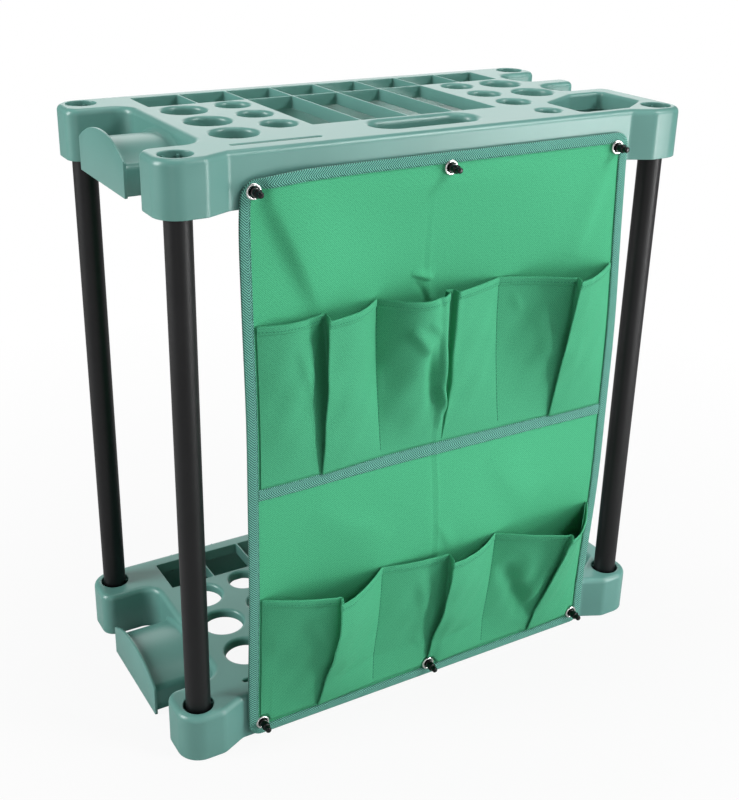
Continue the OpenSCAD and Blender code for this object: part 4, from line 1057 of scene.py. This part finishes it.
def stitch_uvs(parts):
    """Cloth coordinates for stitches: their x and z in metres."""
    return [np.asarray(p[0])[:, [0, 2]] * MM for p in parts]


seams = shape("pocket_stitching", SEWN, uvs=stitch_uvs(SEWN))
piece(seams, [], "cloth", "thread")
edge_seams = shape("tape_stitching", SEWN_EDGE, uvs=stitch_uvs(SEWN_EDGE))
piece(edge_seams, [], "tape", "thread")

# %% [markdown]
# ## Floor, light and camera
# The floor looks white and takes a faint shadow near the object. A key lamp stands high on the right and a
# strong one on the left, a little behind; the others brighten the cloth from the front, the tops of the
# trays and the back. The camera stands where the photograph was taken: its turn, tilt and lens were worked
# out from straight edges of the trays.

# %% Floor and light
def stage_floor():
    """A wide floor that is white to the camera and keeps the object's shadow. The share of the shadow
    falls from .08 at .35 m from the middle to nothing at 1.1 m."""
    mesh = bpy.data.meshes.new("studio_floor")
    mesh.from_pydata([(-9, -9, 0), (9, -9, 0), (9, 9, 0), (-9, 9, 0)], [], [(0, 1, 2, 3)])
    floor = bpy.data.objects.new("studio_floor", mesh)
    bpy.context.collection.objects.link(floor)
    made, shader, node, link = material("pale_floor", (.46, .46, .46), .7)
    shader.inputs["Specular IOR Level"].default_value = .1
    path = node("ShaderNodeLightPath")
    white = node("ShaderNodeEmission", in_Strength=1.0)
    where = node("ShaderNodeTexCoord").outputs["Object"]
    away = node("ShaderNodeVectorMath", operation="LENGTH", in_0=where).outputs["Value"]
    near = node("ShaderNodeMapRange", in_Value=away, in_1=.35, in_2=1.1, in_3=.08, in_4=0.0)
    seen = node("ShaderNodeMixShader", in_Fac=near.outputs["Result"], in_1=white.outputs[0],
                in_2=shader.outputs[0])
    whole = node("ShaderNodeMixShader", in_1=shader.outputs[0], in_2=seen.outputs[0])
    link(path.outputs["Is Camera Ray"], whole.inputs["Fac"])
    output = next(item for item in made.node_tree.nodes if item.type == "OUTPUT_MATERIAL")
    link(whole.outputs[0], output.inputs["Surface"])
    mesh.materials.append(made)


def lamp(name, place, aim, wide, tall, power):
    """A soft rectangular lamp at a place, turned to look at a point: metres and watts."""
    data = bpy.data.lights.new(name, "AREA")
    data.shape, data.size, data.size_y, data.energy = "RECTANGLE", wide, tall, power
    obj = bpy.data.objects.new(name, data)
    obj.location = place
    obj.rotation_euler = (Vector(aim) - Vector(place)).to_track_quat("-Z", "Y").to_euler()
    obj.visible_camera = False
    bpy.context.collection.objects.link(obj)


def studio_world(strength):
    """A plain surround: white where the camera sees it, and as bright as the strength to all else."""
    world = bpy.data.worlds.new("studio_world")
    world.use_nodes = True
    tree = world.node_tree
    light, seen = tree.nodes["Background"], tree.nodes.new("ShaderNodeBackground")
    for background, bright in ((light, strength), (seen, 1.0)):
        background.inputs["Color"].default_value = (1, 1, 1, 1)
        background.inputs["Strength"].default_value = bright
    path, mix = tree.nodes.new("ShaderNodeLightPath"), tree.nodes.new("ShaderNodeMixShader")
    tree.links.new(path.outputs["Is Camera Ray"], mix.inputs[0])
    tree.links.new(light.outputs[0], mix.inputs[1])
    tree.links.new(seen.outputs[0], mix.inputs[2])
    tree.links.new(mix.outputs[0], tree.nodes["World Output"].inputs["Surface"])
    bpy.context.scene.world = world


stage_floor()
studio_world(.17)
lamp("key_lamp", (1.3, -1.35, 2.1), (0, 0, .35), .8, 1.0, 41)
lamp("strip_lamp", (1.3, -1.55, .46), (0, 0, .3), .34, .9, 21)
lamp("low_lamp", (.42, -1.0, .09), (-.25, -.13, .25), .5, .14, 1.1)
lamp("front_lamp", (-.1, -3.3, .9), (0, 0, .5), 1.4, 1.8, 9)
lamp("left_lamp", (-1.9, -2.3, .85), (0, 0, .4), .7, 1.9, 7)
lamp("side_lamp", (-2.6, .55, 1.5), (0, 0, .4), 1.0, 2.0, 84)
lamp("top_lamp", (.2, .5, 2.9), (0, 0, .4), 1.2, 1.2, 16)
lamp("back_lamp", (1.7, 3.2, 1.3), (0, 0, .6), 3.4, 2.4, 44)

# %% Camera
def photo_camera():
    """A camera at the photograph's place. Its axes are right, up and back; roll turns the first two."""
    turn, tilt, roll = math.radians(-30.276), math.radians(22.004), math.radians(1.03)
    forward = Vector((math.cos(tilt) * math.sin(-turn), math.cos(tilt) * math.cos(turn), -math.sin(tilt)))
    right = Vector((math.cos(turn), math.sin(turn), 0))
    up = right.cross(forward)
    side = math.cos(roll) * right + math.sin(roll) * up
    top = math.cos(roll) * up - math.sin(roll) * right
    data = bpy.data.cameras.new("photo_camera")
    data.sensor_width, data.lens = 36.0, 52.47
    data.shift_x, data.shift_y = .01539, -.0659
    data.clip_start, data.clip_end = .05, 50
    camera = bpy.data.objects.new("photo_camera", data)
    bpy.context.collection.objects.link(camera)
    camera.rotation_mode = "QUATERNION"
    rows = [[side[i], top[i], -forward[i]] for i in range(3)]
    camera.rotation_quaternion = Matrix(rows).to_quaternion()
    camera.location = (-.6104, -1.0212 + RACK_Y * MM, .8219)
    bpy.context.scene.camera = camera


photo_camera()
bpy.context.scene.view_settings.view_transform = "Standard"
print("lamps and camera placed")
